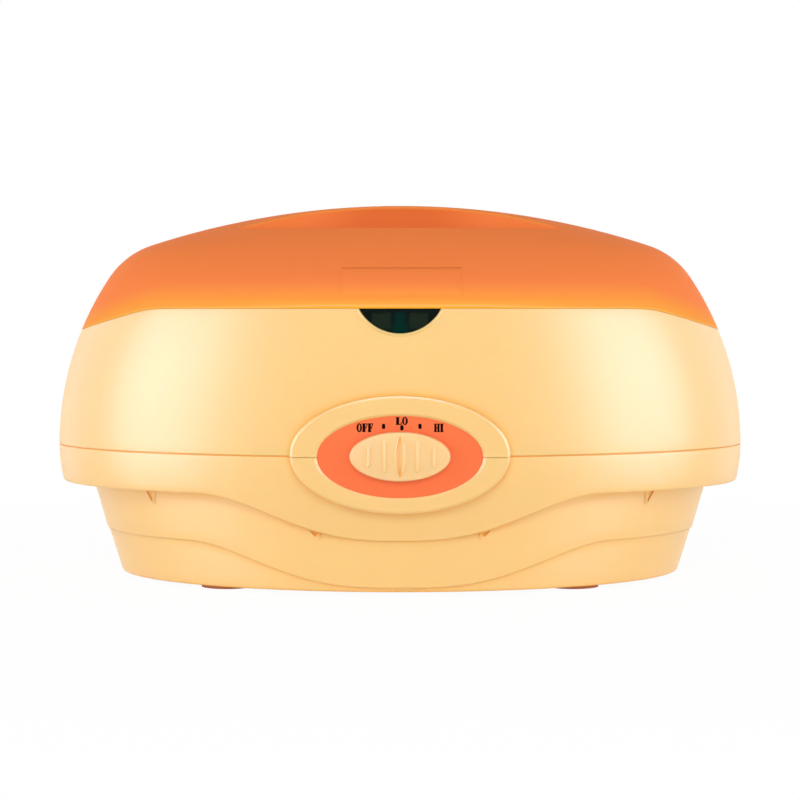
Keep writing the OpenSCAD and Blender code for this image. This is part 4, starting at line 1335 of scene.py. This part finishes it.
class WAXWARMER_OT_dial(bpy.types.Operator):
    """Builds the orange dial plate with its slot and lip, and prints its plain heat marks"""

    bl_idname = "wax_warmer.dial"
    bl_label = "Dial plate"

    def execute(self, context):
        edge = 0.0002
        lip_y = DIAL_Y + DIAL_T
        back_y = lip_y + LIP_T
        bm = bmesh.new()
        rings = [
            front_ring(grown(DIAL_HALF, -edge), DIAL_Y, DIAL_RISE),
            front_ring(DIAL_HALF, DIAL_Y + edge, DIAL_RISE),
            front_ring(DIAL_HALF, lip_y, DIAL_RISE),
            front_ring(DIAL_LIP, lip_y),
            front_ring(DIAL_LIP, back_y),
        ]
        loft(bm, rings, CONTROL_SEGMENTS)
        cap_holes(bm)
        clean(bm)
        plate = to_object(bm, "dial_face")
        bm = bmesh.new()
        half_l, half_w = SLOT[0] / 2, SLOT[1] / 2
        box_solid(bm, (-half_l, DIAL_Y - 0.001, SEAM_Z - half_w), (half_l, back_y + 0.001, SEAM_Z + half_w))
        cut(plate, bm)
        finish(plate, "housing", orange_abs(), ["dial_plate"])
        bm = bmesh.new()
        dial_marks(bm)
        clean(bm)
        finish(to_object(bm, "dial_marks"), "housing", black_ink())
        return {"FINISHED"}


KNOB_HALF = (0.024, 0.01175)
KNOB_BACK_Y = -0.1188
KNOB_EDGE_T = 0.0024
KNOB_DOME = 0.00208
KNOB_RISE = 0.0006
# The edge's rounding, from this share of the way out
KNOB_ROUND, KNOB_ROUND_FROM = 0.0012, 0.90
KNOB_STEM_HALF = (0.003, 0.0015)
KNOB_STEM_Y = (KNOB_BACK_Y - 0.0005, -0.1137)
# Each rib's distance from the knob's middle and its half-length
KNOB_RIBS = ((0.0078, 0.0071), (0.0155, 0.0045))
RIB_HALF_W = 0.0008
RIBS_AT = 0.0005
RIB_RISE = 0.0009
RIB_END = (-0.0001, 0.0003)
# Eye-shaped centre mark: half-width and half-length, and its profile across as share and height
MARK_AT = 0.0003
MARK_HALF = (0.0029, 0.0106)
MARK_PROFILE = (
    (-1.0, 0.0), (-0.93, 0.0003), (-0.84, 0.0003), (-0.50, -0.0005), (-0.22, -0.0007), (0.05, -0.0005),
    (0.36, 0.0006), (0.62, 0.0007), (0.80, 0.0004), (0.90, 0.0005), (1.0, 0.0),
)


def mark_height_at(share):
    """Height of the centre mark's profile at a share of its half-width."""
    for (x0, h0), (x1, h1) in zip(MARK_PROFILE, MARK_PROFILE[1:]):
        if x0 <= share <= x1:
            return mix(h0, h1, smooth_step(x0, x1, share))
    return 0.0


def knob_height(x, z):
    """How far the knob's face stands out of its back plane at a point."""
    out = (x / KNOB_HALF[0]) ** 2 + (z / KNOB_HALF[1]) ** 2
    dome = KNOB_EDGE_T + KNOB_DOME * (1 - out) - KNOB_ROUND * smooth_step(KNOB_ROUND_FROM, 1.0, out) ** 2
    for away, half_l in KNOB_RIBS:
        across = abs(abs(x - RIBS_AT) - away) / RIB_HALF_W
        length = 1 - smooth_step(*RIB_END, abs(z) - half_l)
        dome += RIB_RISE * max(1 - across**2, 0.0) * length
    eye = 1 - (z / MARK_HALF[1]) ** 2
    if eye > 0:
        dome += mark_height_at((x - MARK_AT) / (MARK_HALF[0] * eye)) * min(2 * eye, 1.0)
    return dome


class WAXWARMER_OT_knob(bpy.types.Operator):
    """Builds the sliding knob: a shallow oval dome with four ribs and a split centre mark"""

    bl_idname = "wax_warmer.knob"
    bl_label = "Knob"

    def execute(self, context):
        columns, rows = 480, 72

        def place(i, j):
            x = -KNOB_HALF[0] * math.cos(math.pi * i / columns)
            reach = KNOB_HALF[1] * math.sin(math.pi * i / columns)
            z = -reach * math.cos(math.pi * j / rows)
            return Vector((x, KNOB_BACK_Y - knob_height(x, z), SEAM_Z + KNOB_RISE + z))

        bm = bmesh.new()
        patch(bm, columns, rows, place)
        bmesh.ops.remove_doubles(bm, verts=bm.verts, dist=1e-6)
        rim = [e for e in bm.edges if e.is_boundary]
        low = bmesh.ops.extrude_edge_only(bm, edges=rim)["geom"]
        for v in (g for g in low if isinstance(g, bmesh.types.BMVert)):
            v.co.y = KNOB_BACK_Y
        cap_holes(bm)
        half_w, half_h = KNOB_STEM_HALF
        front_y, back_y = KNOB_STEM_Y
        box_solid(bm, (-half_w, front_y, SEAM_Z - half_h), (half_w, back_y, SEAM_Z + half_h))
        clean(bm)
        finish(to_object(bm, "knob_cap"), "slider", pale_abs(), ["control_knob"], 45)
        return {"FINISHED"}


# The two lamp chambers behind the lens, painted on it: their places, half-width and height span below the
# split, and the faint painted glow between them, which narrows upwards
CHAMBER_X, CHAMBER_HALF = 0.0087, (0.0044, 0.0048)
CHAMBER_FOOT, CHAMBER_TOP = (-0.0105, -0.0090), (-0.0025, -0.0020)
GLOW_HALF, GLOW_Z, GLOW_FADE = (0.0040, 0.0026), (-0.0095, -0.0050), (-0.0030, -0.0010)
LENS_FIT, LENS_EDGE_R = 0.0001, 0.0002


class WAXWARMER_OT_lens(bpy.types.Operator):
    """Builds the half-moon indicator lens in the front wall"""

    bl_idname = "wax_warmer.lens"
    bl_label = "Indicator lens"

    def execute(self, context):
        bm = bmesh.new()
        half_moon(bm, LENS_FIT, -LENS_RECESS, LENS_RECESS + LENS_T)
        clean(bm)
        soften(bm, creases(bm), LENS_EDGE_R)
        lens = to_object(bm, "lens_cover")
        chamber, glow = [], []
        for v in lens.data.vertices:
            x, z = v.co.x, v.co.z - SPLIT_MID
            inside = smooth_step(*CHAMBER_FOOT, z) * (1 - smooth_step(*CHAMBER_TOP, z))
            chamber.append(inside * (1 - smooth_step(*CHAMBER_HALF, abs(abs(x) - CHAMBER_X))))
            half = mix(*GLOW_HALF, smooth_step(*GLOW_Z, z))
            glow.append(math.exp(-((x / half) ** 4)) * (1 - smooth_step(*GLOW_FADE, z)))
        store(lens, "chamber", chamber)
        store(lens, "glow", glow)
        finish(lens, "housing", smoked_acrylic(), ["indicator_lens"])
        return {"FINISHED"}


# ---- tank ----

TANK_FLOOR_HALF, TANK_MOUTH_HALF, TANK_FLANGE_HALF = (0.124, 0.068), (0.140, 0.082), (0.151, 0.093)
TANK_NECK_HALF, TANK_NECK_DROP = (0.1429, 0.0849), 0.004
TANK_CORNER, TANK_TAPER_RISE, TANK_LIP = 0.008, 0.003, 0.002


def tank_half(z):
    foot_z = TANK_FLOOR_Z + TANK_TAPER_RISE
    share = (z - foot_z) / (RIM_Z - foot_z)
    return [mix(TANK_FLOOR_HALF[k], TANK_MOUTH_HALF[k], share) for k in (0, 1)]


def tank_wall(z, grow=0.0):
    return flat_ring(grown(tank_half(z), grow), z)


def tank_bowl(degrees, out):
    """Ring of the round between floor and wall; out is the sheet's thickness outside."""
    angle, r = math.radians(degrees), TANK_CORNER + out
    middle_z = TANK_FLOOR_Z + TANK_CORNER
    half = grown(tank_half(middle_z), r * math.cos(angle) - TANK_CORNER)
    return flat_ring(half, middle_z - r * math.sin(angle))


class WAXWARMER_OT_tank(bpy.types.Operator):
    """Builds the drawn tank with its round floor corner and rolled rim"""

    bl_idname = "wax_warmer.tank"
    bl_label = "Tank"

    def execute(self, context):
        bowl_top, lip_z, neck_z = TANK_FLOOR_Z + TANK_CORNER, RIM_Z - TANK_LIP, RIM_Z - TANK_NECK_DROP
        edge = SHEET / 2
        turns = (90, 72, 54, 36, 18, 0)
        rings = [tank_bowl(a, 0) for a in turns]
        rings += [tank_wall(mix(bowl_top, lip_z, k / 8)) for k in range(1, 9)]
        for a in map(math.radians, (25, 50, 75, 90)):
            half = grown(tank_half(lip_z), TANK_LIP * (1 - math.cos(a)))
            rings.append(flat_ring(half, lip_z + TANK_LIP * math.sin(a)))
        for a in map(math.radians, (90, 45, 0, -45, -90)):
            half = grown(TANK_FLANGE_HALF, edge * (math.cos(a) - 1))
            rings.append(flat_ring(half, RIM_Z - edge + edge * math.sin(a)))
        rings += [flat_ring(TANK_NECK_HALF, RIM_Z - SHEET), tank_wall(neck_z, SHEET)]
        rings += [tank_wall(mix(neck_z, bowl_top, k / 4), SHEET) for k in range(1, 4)]
        rings += [tank_bowl(a, SHEET) for a in reversed(turns)]
        bm = bmesh.new()
        loft(bm, rings)
        cap_holes(bm)
        clean(bm)
        finish(to_object(bm, "wax_tank"), "housing", drawn_aluminium(), ["tank"])
        return {"FINISHED"}


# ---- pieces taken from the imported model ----

SOFT_EDGE = 0.0004
FLAT_DEGREES = 0.5


def softened_copy(node, name):
    """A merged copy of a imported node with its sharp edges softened."""
    bm = bmesh.new()
    bm.from_mesh(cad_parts[node].data)
    bmesh.ops.remove_doubles(bm, verts=bm.verts, dist=1e-6)
    limit = math.radians(FLAT_DEGREES)
    flat = [e for e in bm.edges if len(e.link_faces) == 2 and e.calc_face_angle(0) < limit]
    bmesh.ops.dissolve_edges(bm, edges=flat, use_verts=True, use_face_split=False)
    bmesh.ops.recalc_face_normals(bm, faces=bm.faces)
    soften(bm, creases(bm), SOFT_EDGE, 2)
    bmesh.ops.translate(bm, vec=(0, -MIDDLE_Y, 0), verts=bm.verts)
    return to_object(bm, name)


class WAXWARMER_OT_grid(bpy.types.Operator):
    """Softens the loose grid that keeps skin off the tank's hot floor"""

    bl_idname = "wax_warmer.grid"
    bl_label = "Tank grid"

    def execute(self, context):
        grid = softened_copy("tank_grid", "floor_grid")
        finish(grid, "grid", white_polypropylene(), ["tank_grid"])
        return {"FINISHED"}


class WAXWARMER_OT_inlet(bpy.types.Operator):
    """Softens the mains inlet in the back wall"""

    bl_idname = "wax_warmer.inlet"
    bl_label = "Mains inlet"

    def execute(self, context):
        inlet = softened_copy("power_inlet", "inlet_housing")
        nylon = bpy.data.materials["glass_filled_nylon"]
        finish(inlet, "housing", nylon, ["power_inlet"])
        return {"FINISHED"}


class WAXWARMER_OT_hardware(bpy.types.Operator):
    """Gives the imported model's own pieces their materials"""

    bl_idname = "wax_warmer.hardware"
    bl_label = "Hardware finishes"

    def execute(self, context):
        groups = [(make(), names) for make, names in CAD_FINISHES.items()]
        groups += [(lead_sleeve(name, text), names) for name, (text, names) in LEADS.items()]
        for material, names in groups:
            for name in names:
                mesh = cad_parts[name].data
                mesh.materials.clear()
                mesh.materials.append(material)
        return {"FINISHED"}


# ---- stage ----

FLOOR_HALF = 6.0
# The floor gives its own light: this share near the object, all of it beyond, as seen by the camera
FLOOR_GLOW = 0.965
GLOW_REACH = (0.22, 0.7)
AMBIENT = 0.34
PICTURE_PIXELS = 800
FOCAL_PIXELS = 2278
HORIZON_ROW = 292.7
SENSOR_MM = 36.0
# Colour of the lights that are mirrored in the object: a little pink
SHEEN = (1.0, 0.70, 1.0)
# Lights as name, degrees from the front, height, distance, width and height of the cloth, and power in
# watts. A softbox only lights the object and a sheen is only mirrored in it
SIDE_LIGHTS = (
    ("softbox", 66, 0.2, 1.0, 0.65, 1.0, 4.2),
    ("sheen", 66, 0.28, 0.97, 0.65, 1.0, 8.6),
    ("softbox_rear", 140, 0.45, 1.1, 0.6, 0.6, 2.6),
    ("sheen_rear", 118, 0.28, 1.1, 0.7, 1.0, 1.7),
)
MIDDLE_LIGHTS = (
    ("softbox_front", 0, 0.9, 1.5, 0.8, 0.5, 6.6),
    ("softbox_low", 0, 0.03, 1.5, 1.0, 0.3, 4.2),
    ("sheen_top", 0, 1.2, 0.35, 0.8, 0.5, 6.0),
)
LIGHTS_AIM = Vector((0, 0, 0.1))
WHITE = (1, 1, 1, 1)


def pale_floor():
    """Matt white painted board: bright, with the object's own soft shadow on it."""
    material, tree, shader, place = new_material("white_painted_board", WHITE[:3])
    tree.nodes.remove(shader)
    matt = add_node(tree, "ShaderNodeBsdfDiffuse", {"Color": [*linear("#f6f6f6"), 1.0]})
    speck = add_node(tree, "ShaderNodeTexNoise", {"Vector": place, "Scale": 1 / (5 * MM)}).outputs["Fac"]
    tint(tree, matt, speck, linear("#fafafa"))
    shine = add_node(tree, "ShaderNodeEmission", {"Color": WHITE, "Strength": 1.0}).outputs["Emission"]
    away = add_node(tree, "ShaderNodeVectorMath", {0: place}, operation="LENGTH").outputs["Value"]
    inputs = {"Value": away, "From Min": GLOW_REACH[0], "From Max": GLOW_REACH[1], "To Min": FLOOR_GLOW}
    share = add_node(tree, "ShaderNodeMapRange", inputs, interpolation_type="SMOOTHSTEP").outputs["Result"]
    lifted = add_node(tree, "ShaderNodeMixShader", {0: share, 1: matt.outputs["BSDF"], 2: shine})
    path = add_node(tree, "ShaderNodeLightPath").outputs
    rays = {0: path["Is Camera Ray"], 1: path["Is Transmission Ray"]}
    seen = add_node(tree, "ShaderNodeMath", rays, operation="MAXIMUM").outputs["Value"]
    inputs = {0: seen, 1: matt.outputs["BSDF"], 2: lifted.outputs["Shader"]}
    both = add_node(tree, "ShaderNodeMixShader", inputs).outputs["Shader"]
    tree.links.new(both, tree.nodes["Material Output"].inputs["Surface"])
    return material


def white_world():
    """A white surround for the eye and for reflections, and a soft even light from all round."""
    world = bpy.data.worlds.new("white_surround")
    bpy.context.scene.world = world
    world.use_nodes = True
    tree = world.node_tree
    tree.nodes.clear()
    path = add_node(tree, "ShaderNodeLightPath").outputs
    seen = path["Is Camera Ray"]
    for ray in ("Is Glossy Ray", "Is Transmission Ray"):
        seen = add_node(tree, "ShaderNodeMath", {0: seen, 1: path[ray]}, operation="MAXIMUM").outputs["Value"]
    strength = add_node(tree, "ShaderNodeMapRange", {"Value": seen, "To Min": AMBIENT}).outputs["Result"]
    shine = add_node(tree, "ShaderNodeBackground", {"Color": WHITE, "Strength": strength})
    add_node(tree, "ShaderNodeOutputWorld", {"Surface": shine.outputs["Background"]})


def area_light(name, azimuth, height, distance, width, tall, power):
    """A rectangular soft light on a circle round the object."""
    mirrored = name.startswith("sheen")
    data = bpy.data.lights.new(name, "AREA")
    data.shape = "RECTANGLE"
    data.size, data.size_y, data.energy = width, tall, power
    data.color = SHEEN if mirrored else WHITE[:3]
    light = bpy.data.objects.new(name, data)
    a = math.radians(azimuth)
    light.location = (distance * math.sin(a), -distance * math.cos(a), height)
    light.rotation_euler = (LIGHTS_AIM - light.location).to_track_quat("-Z", "Y").to_euler()
    light.visible_glossy, light.visible_diffuse = mirrored, not mirrored
    bpy.context.scene.collection.objects.link(light)


class WAXWARMER_OT_stage(bpy.types.Operator):
    """Sets the floor, the soft studio lights, the surround and the camera"""

    bl_idname = "wax_warmer.stage"
    bl_label = "Stage"

    def execute(self, context):
        scene = context.scene
        sizes = scene.wax_warmer_sizes
        bm = bmesh.new()
        bmesh.ops.create_grid(bm, x_segments=1, y_segments=1, size=FLOOR_HALF)
        floor = to_object(bm, "studio_floor")
        floor.data.materials.append(pale_floor())
        floor.visible_glossy = False
        white_world()
        for side, word in ((-1, "left"), (1, "right")):
            for name, azimuth, *rest in SIDE_LIGHTS:
                area_light(f"{name}_{word}", side * azimuth, *rest)
        for light in MIDDLE_LIGHTS:
            area_light(*light)
        data = bpy.data.cameras.new("camera")
        data.sensor_width = SENSOR_MM
        data.lens = SENSOR_MM * FOCAL_PIXELS / PICTURE_PIXELS
        data.shift_y = HORIZON_ROW / PICTURE_PIXELS - 0.5
        camera = bpy.data.objects.new("camera", data)
        camera.location = (0, MIDDLE_Y - sizes.camera_distance, sizes.camera_height)
        camera.rotation_euler = (math.pi / 2, 0, 0)
        scene.collection.objects.link(camera)
        scene.camera = camera
        scene.view_settings.view_transform = "Standard"
        return {"FINISHED"}


# ---- panel and registration ----

PIECES = (
    WAXWARMER_OT_hardware, WAXWARMER_OT_lid, WAXWARMER_OT_upper_housing, WAXWARMER_OT_lower_housing,
    WAXWARMER_OT_bezel, WAXWARMER_OT_dial, WAXWARMER_OT_knob, WAXWARMER_OT_lens, WAXWARMER_OT_tank,
    WAXWARMER_OT_grid, WAXWARMER_OT_inlet, WAXWARMER_OT_stage,
)


class WAXWARMER_PT_panel(bpy.types.Panel):
    """Lists the pieces in the order in which they are built"""

    bl_label = "Wax warmer"
    bl_idname = "WAXWARMER_PT_panel"
    bl_space_type = "VIEW_3D"
    bl_region_type = "UI"
    bl_category = "Wax warmer"

    def draw(self, context):
        column = self.layout.column()
        for piece in PIECES:
            column.operator(piece.bl_idname)
        for group in (context.scene.wax_warmer_sizes, context.scene.wax_warmer_look):
            for name in group.__annotations__:
                column.prop(group, name)


CLASSES = (WaxWarmerLook, WaxWarmerSizes, *PIECES, WAXWARMER_PT_panel)


def register():
    for cls in CLASSES:
        bpy.utils.register_class(cls)
    bpy.types.Scene.wax_warmer_look = bpy.props.PointerProperty(type=WaxWarmerLook)
    bpy.types.Scene.wax_warmer_sizes = bpy.props.PointerProperty(type=WaxWarmerSizes)


def unregister():
    del bpy.types.Scene.wax_warmer_sizes
    del bpy.types.Scene.wax_warmer_look
    for cls in reversed(CLASSES):
        bpy.utils.unregister_class(cls)


def main():
    register()
    for piece in PIECES:
        group, name = piece.bl_idname.split(".")
        getattr(getattr(bpy.ops, group), name)()


if __name__ == "__main__":
    main()
